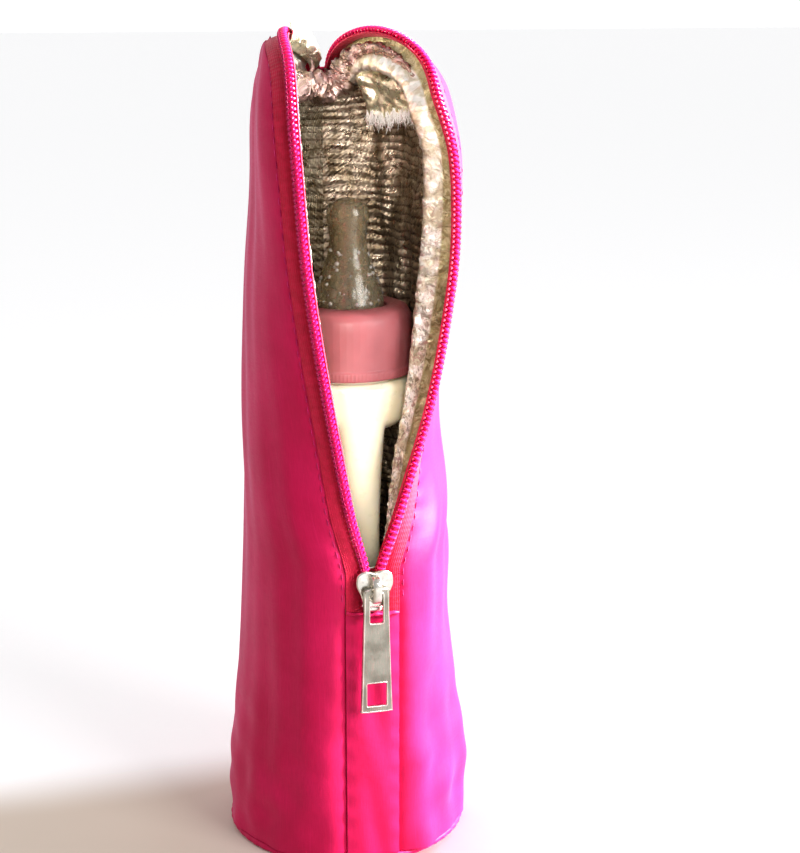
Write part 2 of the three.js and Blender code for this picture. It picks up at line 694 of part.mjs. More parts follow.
// ---- Collar and teat -----------------------------------------------------------------------------
const collarRidge = threadRidge(COLLAR_BORE + 0.6, COLLAR_BORE - THREAD_DEPTH + 0.2, 154.5, 1.4);
const collarShell = turned([
  [COLLAR_BORE, COLLAR[0]],
  [COLLAR_RADIUS - 0.2, COLLAR[0]],
  [COLLAR_RADIUS, COLLAR[0] + 0.5],
  [COLLAR_RADIUS, COLLAR[0] + 3],
  [COLLAR_RADIUS - 0.5, COLLAR[0] + 3.6],
  [COLLAR_RADIUS - 0.5, COLLAR[1] - 4.6],
  [COLLAR_RADIUS - 1.2, COLLAR[1] - 1.6],
  [COLLAR_RADIUS - 3.6, COLLAR[1]],
  [COLLAR_HOLE, COLLAR[1]],
  [COLLAR_HOLE, COLLAR[1] - COLLAR_TOP],
  [COLLAR_BORE, COLLAR[1] - COLLAR_TOP],
  [COLLAR_BORE, COLLAR[0]],
], 36);
addToBottle('collar', combine(collarShell, [collarRidge]), material(COLOURS.collar, 0.45));

// The teat: a flange under the collar's top, a cone, a neck and a round bulb with a hole in its tip.
const WALL = 1.5;
const FLANGE = [NECK_TOP + GAP, COLLAR[1] - COLLAR_TOP - GAP];
const FLANGE_INNER = BORE - 0.6;
const teatOutside = [
  [COLLAR_HOLE - 0.6, COLLAR[1] + 1.4],
  [COLLAR_HOLE - 1.2, COLLAR[1] + 4.4],
  [8.6, TEAT_TOP - 23],
  [6.3, TEAT_TOP - 17.5],
  [5.5, TEAT_TOP - 13],
  [6, TEAT_TOP - 9.4],
  [BULB_RADIUS, TEAT_TOP - 6],
  [6, TEAT_TOP - 2.6],
  [4, TEAT_TOP - 0.6],
  [1, TEAT_TOP],
];
const teatInside = [
  [1, TEAT_TOP - WALL],
  [3, TEAT_TOP - 2],
  [4.7, TEAT_TOP - 3.8],
  [BULB_RADIUS - WALL, TEAT_TOP - 6.4],
  [4.3, TEAT_TOP - 10.2],
  [4, TEAT_TOP - 13.4],
  [4.8, TEAT_TOP - 18],
  [7, TEAT_TOP - 23.8],
  [COLLAR_HOLE - 1.4 - WALL, COLLAR[1] + 3.6],
];
addToBottle('teat', turned([
  [FLANGE_INNER, FLANGE[0]],
  [FLANGE_RADIUS, FLANGE[0]],
  [FLANGE_RADIUS, FLANGE[1]],
  [COLLAR_HOLE - 0.5, FLANGE[1]],
  ...teatOutside,
  ...teatInside,
  [COLLAR_HOLE - 0.8 - WALL, FLANGE[0]],
  [FLANGE_INNER, FLANGE[0]],
]), material(COLOURS.teat, 0.3));

export default object;
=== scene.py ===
"""A baby bottle with a loop grip, standing in its satin, foil-lined zip bag."""

import json
import math

import bpy
import numpy as np
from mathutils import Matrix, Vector


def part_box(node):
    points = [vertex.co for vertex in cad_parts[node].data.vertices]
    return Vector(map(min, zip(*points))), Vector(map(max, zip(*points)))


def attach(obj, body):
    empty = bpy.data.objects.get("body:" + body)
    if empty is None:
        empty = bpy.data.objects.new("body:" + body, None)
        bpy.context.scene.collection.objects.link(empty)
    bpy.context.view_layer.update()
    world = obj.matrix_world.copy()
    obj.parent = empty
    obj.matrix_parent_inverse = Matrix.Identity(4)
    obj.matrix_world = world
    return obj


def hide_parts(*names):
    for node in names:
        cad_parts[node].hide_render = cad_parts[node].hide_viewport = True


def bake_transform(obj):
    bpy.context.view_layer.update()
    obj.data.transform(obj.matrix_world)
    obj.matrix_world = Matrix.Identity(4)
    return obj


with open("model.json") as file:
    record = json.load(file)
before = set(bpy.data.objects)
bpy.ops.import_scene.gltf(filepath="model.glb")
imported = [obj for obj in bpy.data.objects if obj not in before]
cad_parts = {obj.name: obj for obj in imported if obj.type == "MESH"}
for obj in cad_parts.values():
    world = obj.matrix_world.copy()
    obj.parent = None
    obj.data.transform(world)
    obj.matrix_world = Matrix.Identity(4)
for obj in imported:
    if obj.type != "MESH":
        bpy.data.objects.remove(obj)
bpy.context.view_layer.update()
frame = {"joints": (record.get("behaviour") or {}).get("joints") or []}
JOINTS = {joint["name"]: joint for joint in frame["joints"]}

# ---- Driving dimensions, in millimetres unless a name says otherwise
MM = 0.001


def node_box(node):
    """A CAD node's lowest and highest corner, in millimetres."""
    low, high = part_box(node)
    return np.array(low) / MM, np.array(high) / MM


# The seam: up the front, then over the top in an arch, in the plane x = 0.
FRONT_DEPTH = 36.5
SEAM_START = 95.0
ARCH_BASE = 217.0
ARCH_RADIUS = 34.5
ARCH_END = math.radians(143)
ARCH_CENTRE_Y = ARCH_RADIUS - FRONT_DEPTH
RUN = ARCH_BASE - SEAM_START
SEAM_LENGTH = RUN + ARCH_RADIUS * ARCH_END
BACK_DEPTH = 36.5

# The zip and the strips, measured sideways from the seam.
COIL_OFFSET = 2.2
TAPE_OUTER = 8.2
STRIP_HALF = 8.0
PANEL_EDGE = 8.3

# The open zip's edges stand up in a ridge, which takes this long to rise at either end.
RIDGE = math.radians(25)
RIDGE_RUN = 40.0

# The zip's ends, as arc lengths along the seam, and its coil's pitch.
ZIP_START = -10.5
TAPE_START = -13.2
ZIP_END = SEAM_LENGTH - 0.6
COIL_PITCH = 1.55

# A coil's turn as half its width and height, its strand's and its cord's radius, and the tubes' grids.
COIL_TURN = (1.12, 0.72)
COIL_LIFT = 0.05
STRAND_RADIUS = 0.46
CORD_RADIUS = 0.62
TURN_STEPS = 14
STRAND_CORNERS = 6
CORD_CORNERS = 8
CORD_STEP = 7

# The sewing: the height where it starts, the lengths of a stitch, a gap and a pucker, and the coil's two
# rows of thread as offsets from the seam.
SEWN_FROM = 86.0
STITCH = 2.5
STITCH_GAP = 0.9
STITCH_RADIUS = 0.17
PUCKER_PITCH = 7.5
COIL_THREADS = (2.75, 3.45)
COIL_THREAD_RADIUS = 0.14

# Sections across the zip, as (offset, lift) from the seam.
TAPE_SECTION = [(0.95, -1.15), (2.2, -1.2), (3.4, -1.1), (4.2, -0.6), (5.2, -0.15), (6.4, 0.0), (7.4, 0.0),
                (TAPE_OUTER, 0.0)]
FACING_LEFT = [(3.7, -0.9), (4.3, -2.2), (5.0, -3.9), (5.1, -4.3), (4.9, -5.6), (4.8, -6.9), (4.8, -7.7),
               (5.2, -8.6), (5.9, -9.1), (6.9, -9.1), (7.9, -8.5), (8.6, -7.6)]
FACING_RIGHT = [(4.2, -0.8), (4.7, -2.4), (5.0, -4.4), (5.0, -6.2), (4.7, -6.8), (4.4, -8.2), (4.4, -9.8),
                (4.8, -10.8), (5.7, -11.3), (6.9, -11.1), (8.0, -10.2), (8.8, -8.6)]
FACING_KEEP = 0.5

# The lining's top. A hem's spots are (arc length, offset, lift, radius). The corner's points are places in
# the bag, from its back top corner round to its back low one. The flare's are (share of height, offset,
# lift).
HEM_LEFT = [(176, 5.5, -16.5, 2.6), (185, 6.0, -16.0, 3.8), (194, 6.0, -14.4, 4.2), (201, 4.4, -12.6, 4.4),
            (207.5, 0.0, -10.4, 4.6)]
HEM_RIGHT = [(207.5, 0.0, -10.4, 4.6), (203, 3.0, -9.0, 4.3), (198, 3.8, -7.2, 3.5), (192, 4.2, -5.6, 2.5),
             (184, 4.4, -4.6, 1.8), (174, 4.6, -4.9, 1.6), (165, 4.9, -5.6, 1.4), (157, 5.6, -6.0, 1.1),
             (149, 6.8, -6.2, 0.8)]
HEM_CORNERS = 30
HEM_MAP = 2.6
CORNER_POINTS = ((8.2, 13.4, 245.0), (20.7, -4.5, 239.0), (21.0, -7.6, 226.0), (11.2, 12.0, 224.5))
CORNER_LEVEL = 232.0
FRAYED_THREADS = 260
SLIVER_AT = 201.0
FLARE_START = 177.0
FLARE_END = 203.0
FLARE_SECTION = [(0, 3.7, -4.2), (0.25, 1.0, -3.0), (0.42, -0.2, -1.4), (0.7, -0.3, 1.6), (1, -0.2, 5.6)]

# The wall's layers, measured inward from its outer face.
SHELL_DEPTH = 0.9
FOAM_DEPTHS = (1.3, 4.8)
LINER_DEPTHS = (5.0, 5.5)

# The wall's heights, the spacing of the grids over it, and its roundness seen from above.
WALL_BOTTOM = 2.4
WALL_TOP = 250.6
LINING_NOTCH = 78.0
LINING_TOP = 236.0
CENTRE_GAP = 0.05
LAYER_EDGE_STEPS = 5
BACK_STRIP_TOP = 238.2
RIB_PITCH = 2.7
PANEL_ROWS = 190
PANEL_COLUMNS = 91
FOAM_GRID = (60, 41)
LINER_GRID = (230, 91)
ROUNDNESS = 0.51
TOP_ROUND = 14.0

LEAN = np.array(JOINTS["left_flap_close"]["axis"])
LEAN = LEAN / np.linalg.norm(LEAN)


class Side:
    """One half of the bag: how wide it stands at each height and how far its zip edge lies open."""

    def __init__(self, name, sign, slack, turn, width):
        joint = JOINTS[f"{name}_flap_close"]
        self.name = name
        self.sign = sign
        self.slack = slack
        self.turn = turn
        self.width = width
        self.pivot = np.array(joint["pos_m"]) / MM
        self.most = joint["range_deg"][1]
        self.flap = joint["child"]


LEFT = Side(
    "left", -1, 0.6,
    [(0, 0), (18, 9.5), (45, 16), (85, 19.6), (130, 19), (152, 19.8), (178, 25.5), (190, 24.5),
     (SEAM_LENGTH, 0)],
    [(0, 37.7), (25, 37.3), (45, 35), (62, 33.3), (90, 32.2), (150, 30.3), (180, 28.6), (210, 27),
     (232, 26), (244, 24.6), (250, 23)],
)
RIGHT = Side(
    "right", 1, 1.0,
    [(0, 0), (18, 23), (48, 43), (85, 44), (112, 36), (138, 25.5), (155, 26.5), (172, 24), (190, 17),
     (SEAM_LENGTH, 0)],
    [(0, 37.7), (25, 37.3), (45, 34.6), (62, 32.6), (90, 31.6), (150, 31), (210, 31.2),
     (232, 30), (244, 27.5), (250, 25)],
)


# ---- Curves and grids
def follow(points, at):
    """Smooth interpolation through a short list of (position, value) pairs."""
    xs, ys = np.array(points, float).T
    slopes = np.empty(len(xs))
    slopes[1:-1] = (ys[2:] - ys[:-2]) / (xs[2:] - xs[:-2])
    slopes[0] = (ys[1] - ys[0]) / (xs[1] - xs[0])
    slopes[-1] = (ys[-1] - ys[-2]) / (xs[-1] - xs[-2])
    at = np.clip(np.asarray(at, float), xs[0], xs[-1])
    index = np.clip(np.searchsorted(xs, at, side="right") - 1, 0, len(xs) - 2)
    span = xs[index + 1] - xs[index]
    t = (at - xs[index]) / span
    low, high = ys[index], ys[index + 1]
    a, b = slopes[index] * span, slopes[index + 1] * span
    cube = 2 * (low - high) + a + b
    square = 3 * (high - low) - 2 * a - b
    return ((cube * t + square) * t + a) * t + low


def smooth(value, low=0.0, high=1.0):
    t = np.clip((np.asarray(value, float) - low) / (high - low), 0, 1)
    return t * t * (3 - 2 * t)


def seam(s):
    """Points of the closed seam at arc lengths s, and the bag's outward directions there."""
    s = np.asarray(s, float)
    angle = np.maximum(s - RUN, 0) / ARCH_RADIUS
    out = np.stack([np.zeros_like(s), -np.cos(angle), np.sin(angle)], -1)
    at = out * ARCH_RADIUS + np.array([0, ARCH_CENTRE_Y, ARCH_BASE])
    at[..., 2] += np.minimum(s - RUN, 0)
    return at, out


def turn_at(side, s):
    """How far a side's edge lies open at arc length s, in radians."""
    return np.radians(follow(side.turn, s))


def opened(side, s, points):
    """Closed points turned open about the side's leaning hinge line."""
    angle = (side.sign * turn_at(side, s))[..., None]
    arm = points - side.pivot
    turned = (arm * np.cos(angle) + np.cross(LEAN, arm) * np.sin(angle)
              + LEAN * (arm @ LEAN)[..., None] * (1 - np.cos(angle)))
    return turned + side.pivot


def edge_point(side, s, offset, lift=0.0):
    """The opened place of points that lie offset sideways from the seam and lift above the tape."""
    s, offset, lift = np.broadcast_arrays(
        np.asarray(s, float), np.asarray(offset, float), np.asarray(lift, float))
    at, out = seam(s)
    ridge = RIDGE * smooth(np.minimum(s, SEAM_LENGTH - s), 0, RIDGE_RUN)
    across = offset * np.cos(ridge) + lift * np.sin(ridge)
    proud = lift * np.cos(ridge) - offset * np.sin(ridge)
    points = at + out * proud[..., None]
    points[..., 0] += side.sign * across
    return opened(side, s, points)


def front_seam(height):
    if height <= ARCH_BASE:
        return height - SEAM_START
    return RUN + ARCH_RADIUS * math.asin(min((height - ARCH_BASE) / ARCH_RADIUS, 1))


def back_seam(height):
    """Arc length where the seam comes down to this height at the back; past its end, the strip's own."""
    if height <= ARCH_BASE:
        return SEAM_LENGTH + 100
    return RUN + ARCH_RADIUS * (math.pi - math.asin(min((height - ARCH_BASE) / ARCH_RADIUS, 1)))


def front_point(side, height, offset):
    s = front_seam(height)
    if s >= 0:
        return edge_point(side, s, offset)
    return np.array([side.sign * offset, -FRONT_DEPTH, height])


def back_point(side, height, offset):
    s = back_seam(height)
    if s < SEAM_LENGTH:
        return edge_point(side, s, offset)
    if height > ARCH_BASE:
        at, _ = seam(s)
        return np.array([side.sign * offset, at[1], at[2]])
    depth = BACK_DEPTH + (ARCH_RADIUS + ARCH_CENTRE_Y - BACK_DEPTH) * float(smooth(height, 0, ARCH_BASE))
    return np.array([side.sign * offset, depth, height])


def back_inward(height):
    """The way into the bag from its back centre line."""
    angle = math.asin(min(max(height - ARCH_BASE, 0) / ARCH_RADIUS, 1))
    return np.array([0, -math.cos(angle), -math.sin(angle)])


def unit(vector):
    return vector / np.maximum(np.linalg.norm(vector, axis=-1, keepdims=True), 1e-12)


def circle(count):
    """Angles evenly round a circle, its end left out."""
    return np.linspace(0, 2 * math.pi, count, endpoint=False)


def run_lengths(points):
    """How far along a line each of its points lies."""
    return np.concatenate([[0], np.cumsum(np.linalg.norm(np.diff(points, axis=0), axis=1))])


def at_lengths(wanted, along, values):
    """Three-part values read between a line's points, at the wanted lengths along it."""
    return np.stack([np.interp(wanted, along, values[:, axis]) for axis in range(3)], -1)


def even(points, count):
    """The same line with its points spread evenly along it."""
    along = run_lengths(points)
    return at_lengths(np.linspace(0, along[-1], count), along, points)


def quarter(end, away, middle, count):
    reach = middle - end
    first = end + away * ROUNDNESS * abs(reach @ away)
    second = np.array([middle[0], middle[1] - ROUNDNESS * reach[1], middle[2]])
    t = np.linspace(0, 1, 48)[:, None]
    curve = (end * (1 - t) ** 3 + first * 3 * t * (1 - t) ** 2
             + second * 3 * t * t * (1 - t) + middle * t ** 3)
    return even(curve, count)


def wall_row(side, height, columns):
    """One level of the wall's outer face, from its front edge round the side to its back edge."""
    front = front_point(side, height, PANEL_EDGE)
    back = back_point(side, height, PANEL_EDGE)
    widest = max(float(follow(side.width, height)), side.sign * front[0] + 0.4, side.sign * back[0] + 0.4)
    middle = np.array([side.sign * widest, (front[1] + back[1]) / 2, (front[2] + back[2]) / 2])
    turn_in = 0.35 * float(smooth(height, SEAM_START, ARCH_BASE))
    from_front = unit(front - front_point(side, height, PANEL_EDGE - 4))
    from_front = unit(from_front * (1 - turn_in) + unit(middle - front) * turn_in)
    from_back = unit(back - back_point(side, height, PANEL_EDGE - 4))
    half = columns // 2 + 1
    row = np.vstack([quarter(front, from_front, middle, half),
                     quarter(back, from_back, middle, half)[::-1][1:]])
    open_share = float(smooth(WALL_TOP - height, 0, TOP_ROUND))
    if open_share == 1:
        return row
    rim = edge_point(side, np.linspace(front_seam(height), back_seam(height), columns), PANEL_EDGE)
    return rim + (row - rim) * open_share


def wall_weights(side, heights, columns):
    """How far each point of a wall grid follows its flap: its front and back edges, fading to none."""
    share = np.linspace(0, 1, columns)
    rows = []
    for height in heights:
        front = float(turn_at(side, max(front_seam(height), 0)))
        back = float(turn_at(side, min(back_seam(height), SEAM_LENGTH)))
        rows.append(front * smooth(1 - share / 0.9) + back * smooth((share - 0.1) / 0.9))
    return np.degrees(np.array(rows)) / side.most


def grid_normals(grid, sign):
    """Unit normals of a grid of points; sign picks the side they point to."""
    across = np.gradient(grid, axis=1)
    up = np.gradient(grid, axis=0)
    return unit(np.cross(across, up)) * sign


def arc_lengths(grid):
    steps = np.linalg.norm(np.diff(grid, axis=1), axis=2)
    return np.concatenate([np.zeros((len(grid), 1)), np.cumsum(steps, axis=1)], axis=1)


class Waves:
    """A smooth random height field: a seeded sum of plane waves, from about -1 to 1."""

    def __init__(self, seed, size_u, size_v, count=9):
        draw = np.random.default_rng(seed)
        self.u = draw.normal(0, 1, count) * 2 * math.pi / size_u
        self.v = draw.normal(0, 1, count) * 2 * math.pi / size_v
        self.phase = draw.uniform(0, 2 * math.pi, count)

    def __call__(self, u, v):
        total = sum(np.sin(u * fu + v * fv + p) for fu, fv, p in zip(self.u, self.v, self.phase))
        return total / math.sqrt(len(self.u)) * 0.8


# ---- Turning points into pieces
def new_piece(name, mesh_parts, look, slot, uv=None, sharp=40):
    """A mesh piece from points and faces in millimetres, with its material and flat map. slot is not used.
    """
    vertices, faces = mesh_parts
    mesh = bpy.data.meshes.new(name)
    mesh.from_pydata((np.asarray(vertices) * MM).tolist(), [], [tuple(face) for face in faces])
    mesh.validate()
    if uv is not None:
        layer = mesh.uv_layers.new(name="Flat")
        corners = np.empty(len(mesh.loops), int)
        mesh.loops.foreach_get("vertex_index", corners)
        layer.data.foreach_set("uv", np.asarray(uv, np.float32)[corners].ravel())
    mesh.shade_smooth()
    mesh.set_sharp_from_angle(angle=math.radians(sharp))
    piece = bpy.data.objects.new(name, mesh)
    bpy.context.scene.collection.objects.link(piece)
    mesh.materials.append(look)
    return piece


def body_piece(body, node, name, mesh_parts, look, slot, **more):
    """A piece that rides on one body and, where node is given, stands for that CAD node."""
    piece = new_piece(name, mesh_parts, look, slot, **more)
    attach(piece, body)
    if node:
        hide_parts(node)
    return piece


def grid_faces(rows, columns, start=0, flip=False, loop=False):
    faces = []
    for row in range(rows - 1):
        for column in range(columns if loop else columns - 1):
            a = start + row * columns + column
            b = start + row * columns + (column + 1) % columns
            face = (a, b, b + columns, a + columns)
            faces.append(face[::-1] if flip else face)
    return faces


def shell_faces(rows, columns, flip):
    """Faces of a closed sheet: an outer grid, an inner grid and the four strips between their edges."""
    inner = rows * columns
    faces = grid_faces(rows, columns, 0, flip) + grid_faces(rows, columns, inner, not flip)
    last = (rows - 1) * columns
    rims = []
    for column in range(columns - 1):
        rims.append((column, inner + column, inner + column + 1, column + 1))
        rims.append((last + column, last + column + 1, inner + last + column + 1, inner + last + column))
    for row in range(rows - 1):
        a = row * columns
        rims.append((a, a + columns, inner + a + columns, inner + a))
        a += columns - 1
        rims.append((a, inner + a, inner + a + columns, a + columns))
    return faces + [face[::-1] if flip else face for face in rims]


def sheet_piece(name, outer, inner, look, slot, uv, flip):
    """A closed sheet between two grids of points; uv is the outer grid's flat map, used for both."""
    vertices = np.vstack([outer.reshape(-1, 3), inner.reshape(-1, 3)])
    flat = np.vstack([uv.reshape(-1, 2), uv.reshape(-1, 2)])
    faces = shell_faces(*outer.shape[:2], flip)
    return new_piece(name, (vertices, faces), look, slot, flat, sharp=60)


def follow_flap(piece, side, weights, node=None):
    """Bakes the piece's placement into its points, and may stand for a node. The weights are spread over its
    points but applied to nothing, so the piece does not bend with its flap.
    """
    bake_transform(piece)
    values = np.broadcast_to(np.asarray(weights, np.float32).ravel(), len(piece.data.vertices))
    if node:
        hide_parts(node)


def tube_rings(path, radius, corners, up=None):
    """Rings of points round a path, each square to it. up is a direction at each point to start from."""
    forward = unit(np.gradient(path, axis=0))
    if up is None:
        up = np.tile(np.array([0.0, 0.0, 1.0]), (len(path), 1))
    side_way = unit(np.cross(forward, up))
    rise = np.cross(side_way, forward)
    angles = circle(corners)
    radius = np.broadcast_to(np.asarray(radius, float), (len(path),))
    ring = side_way[:, None] * np.cos(angles)[None, :, None] + rise[:, None] * np.sin(angles)[None, :, None]
    return path[:, None] + ring * radius[:, None, None]


def tube_mesh(rings):
    """Vertices and faces of a capped tube through rings of points."""
    count, corners = rings.shape[:2]
    last = (count - 1) * corners
    caps = [tuple(range(corners))[::-1], tuple(range(last, last + corners))]
    return rings.reshape(-1, 3), grid_faces(count, corners, loop=True) + caps


def tube(path, radius, corners, up=None):
    return tube_mesh(tube_rings(path, radius, corners, up))


def grid_map(u, v):
    """A grid's flat map from its coordinates across and along."""
    return np.stack(np.broadcast_arrays(u, v), -1)


def joined(parts):
    """One mesh's vertices and faces from several."""
    vertices, faces, start = [], [], 0
    for points, polygons in parts:
        vertices.append(points)
        faces.extend(tuple(start + corner for corner in face) for face in polygons)
        start += len(points)
    return np.vstack(vertices), faces


def lathe(profile, segments, centre=(0.0, 0.0), closed=False, ripple=None):
    """Vertices and faces of a turned body from (radius, height) points, its ends capped unless it is closed.
    ripple(angles, radii, heights) gives an added radius at each point."""
    radii, heights = (np.repeat(column[:, None], segments, axis=1) for column in np.array(profile, float).T)
    angles = circle(segments)
    if ripple is not None:
        radii = radii + ripple(angles[None, :], radii, heights)
    points = np.stack([centre[0] + radii * np.cos(angles), centre[1] + radii * np.sin(angles), heights], -1)
    if not closed:
        return tube_mesh(points)
    last = (len(points) - 1) * segments
    seam_faces = [(last + c, last + (c + 1) % segments, (c + 1) % segments, c) for c in range(segments)]
    return points.reshape(-1, 3), grid_faces(len(points), segments, loop=True) + seam_faces


def rounded(profile, steps=4, share=0.3):
    """A profile with each inner corner cut into a short arc, for soft moulded edges."""
    points = np.array(profile, float)
    result = [points[0]]
    for before, corner, after in zip(points[:-2], points[1:-1], points[2:]):
        reach = share * min(np.linalg.norm(corner - before), np.linalg.norm(after - corner))
        start = corner + unit(before - corner) * reach
        end = corner + unit(after - corner) * reach
        for t in np.linspace(0, 1, steps):
            result.append(start * (1 - t) ** 2 + corner * 2 * t * (1 - t) + end * t * t)
    result.append(points[-1])
    return result


# ---- Materials
class Nodes:
    """A node tree under construction."""

    def __init__(self, owner):
        owner.use_nodes = True
        self.tree = owner.node_tree

    def node(self, kind, values=None, **settings):
        made = self.tree.nodes.new(kind)
        for name, value in settings.items():
            setattr(made, name, value)
        for socket, value in (values or {}).items():
            self.feed(made.inputs[socket], value)
        return made

    def feed(self, socket, value):
        """Links a socket to another, or sets it; a colour is given as red, green and blue."""
        if isinstance(value, bpy.types.NodeSocket):
            self.tree.links.new(value, socket)
        else:
            socket.default_value = (*value, 1.0) if socket.type == "RGBA" else value

    def part(self, vector, axis):
        return self.node("ShaderNodeSeparateXYZ", {"Vector": vector}).outputs[axis]


class Look(Nodes):
    """A material under construction, with short ways to add the nodes that the looks below share."""

    def __init__(self, name, **sockets):
        self.material = bpy.data.materials.new(name)
        super().__init__(self.material)
        self.shader = self.tree.nodes["Principled BSDF"]
        self.height = None
        for socket, value in sockets.items():
            self.feed(self.shader.inputs[socket.replace("_", " ")], value)

    def stretched(self, source, scale):
        return self.node("ShaderNodeMapping", {"Vector": source, "Scale": scale}).outputs["Vector"]

    def flat(self, scale=(1, 1, 1)):
        """The piece's flat map in millimetres, stretched."""
        return self.stretched(self.node("ShaderNodeUVMap", uv_map="Flat").outputs["UV"], scale)

    def solid(self, scale=(1, 1, 1)):
        """Object coordinates in millimetres, stretched."""
        source = self.node("ShaderNodeTexCoord").outputs["Object"]
        return self.stretched(source, tuple(value / MM for value in scale))

    def noise(self, where, size=1.0, detail=3.0, rough=0.55, distort=0.0):
        """Noise with features about size millimetres across."""
        return self.node("ShaderNodeTexNoise", {
            "Vector": where, "Scale": 1.0 / size, "Detail": detail, "Roughness": rough,
            "Distortion": distort}).outputs["Fac"]

    def cells(self, where, size=1.0, feature="F1"):
        made = self.node("ShaderNodeTexVoronoi", {"Vector": where, "Scale": 1.0 / size}, feature=feature)
        return made.outputs[0]

    def math(self, operation, first, second=0.0):
        return self.node("ShaderNodeMath", {0: first, 1: second}, operation=operation).outputs[0]

    def times(self, first, second):
        return self.math("MULTIPLY", first, second)

    def wave(self, value, pitch):
        return self.math("SINE", self.times(value, 2 * math.pi / pitch))

    def span(self, value, low, high, to_low=0.0, to_high=1.0):
        return self.node("ShaderNodeMapRange", {
            "Value": value, "From Min": low, "From Max": high, "To Min": to_low, "To Max": to_high,
        }, interpolation_type="SMOOTHSTEP").outputs["Result"]

    def mix(self, factor, first, second):
        made = self.node("ShaderNodeMix", {"Factor": factor, 6: first, 7: second}, data_type="RGBA")
        return made.outputs[2]

    def over(self, base, value, low, high, colour, share=1.0):
        """Lays a colour over base, from none where value is low up to this share where it is high."""
        return self.mix(self.span(value, low, high, 0.0, share), base, colour)

    def colour(self, value):
        self.feed(self.shader.inputs["Base Color"], value)

    def rough(self, value, smoothest, roughest, low=0.3, high=0.7):
        self.feed(self.shader.inputs["Roughness"], self.span(value, low, high, smoothest, roughest))

    def bump(self, height, distance, strength=1.0):
        """Adds relief; distance is in millimetres, and calls pile up."""
        made = self.node("ShaderNodeBump",
                         {"Height": height, "Strength": strength, "Distance": distance * MM})
        if self.height is not None:
            self.feed(made.inputs["Normal"], self.height)
        self.height = made.outputs["Normal"]
        self.feed(self.shader.inputs["Normal"], self.height)


def satin_look():
    look = Look("satin", Sheen_Weight=0.22, Sheen_Roughness=0.35, Sheen_Tint=(1, 0.6, 1),
                Specular_IOR_Level=0.25)
    flat = look.flat()
    warp = look.noise(look.flat((4.0, 0.22, 1)), 1.0, 2)
    weft = look.noise(look.flat((0.22, 4.0, 1)), 1.0, 2)
    slub = look.noise(look.flat((1.6, 0.03, 1)), 1.0, 2)
    base = look.over((0.56, 0.008, 0.085), look.noise(flat, 26, 4), 0.3, 0.7, (0.66, 0.013, 0.115))
    base = look.over(base, warp, 0.35, 0.7, (0.46, 0.005, 0.07), 0.3)
    look.colour(look.over(base, slub, 0.55, 0.75, (0.72, 0.02, 0.15), 0.25))
    look.rough(weft, 0.46, 0.6, 0.2, 0.8)
    look.bump(look.noise(flat, 9, 3), 0.5, 0.35)
    look.bump(look.math("ADD", warp, weft), 0.05, 0.5)
    return look.material


def tape_look():
    """Woven tape: ribs along it, and a ladder of thread beside the coil."""
    look = Look("zip_tape", Sheen_Weight=0.25, Sheen_Roughness=0.5, Specular_IOR_Level=0.3)
    flat = look.flat()
    across = look.part(flat, "X")
    rungs = look.wave(look.part(flat, "Y"), COIL_PITCH)
    ladder = look.times(rungs, look.span(across, 4.6, 5.4, 1.0, 0.0))
    base = look.over((0.50, 0.006, 0.045), look.noise(flat, 3.0), 0.3, 0.7, (0.62, 0.010, 0.065))
    look.colour(look.over(base, ladder, 0.2, 0.9, (0.70, 0.02, 0.12), 0.35))
    look.rough(look.noise(flat, 0.6), 0.55, 0.8, 0.2, 0.8)
    look.bump(look.math("ADD", look.wave(across, 0.62), rungs), 0.06, 0.5)
    look.bump(look.noise(flat, 0.35, 2), 0.08, 0.6)
    return look.material


def noise_look(name, tint, gloss, grains=(), spread=True, **sockets):
    """A look made of noise alone. tint is (size, detail, colour, colour), gloss is (size, detail, smoothest,
    roughest), and each of the grains is (size, detail, distance, strength) of relief. spread takes the two
    colours out to their full strength."""
    look = Look(name, **sockets)
    where = look.solid()
    size, detail, first, second = tint
    clouds = look.noise(where, size, detail)
    look.colour(look.mix(look.span(clouds, 0.3, 0.7) if spread else clouds, first, second))
    size, detail, smoothest, roughest = gloss
    look.rough(look.noise(where, size, detail), smoothest, roughest)
    for size, detail, distance, strength in grains:
        look.bump(look.noise(where, size, detail), distance, strength)
    return look.material


def thread_look(name, colour):
    shade = tuple(0.7 * part for part in colour)
    return noise_look(name, (0.8, 3, colour, shade), (0.3, 3, 0.45, 0.7), [(0.5 / 3, 2, 0.05, 0.6)], False,
                      Sheen_Weight=0.3, Specular_IOR_Level=0.35)


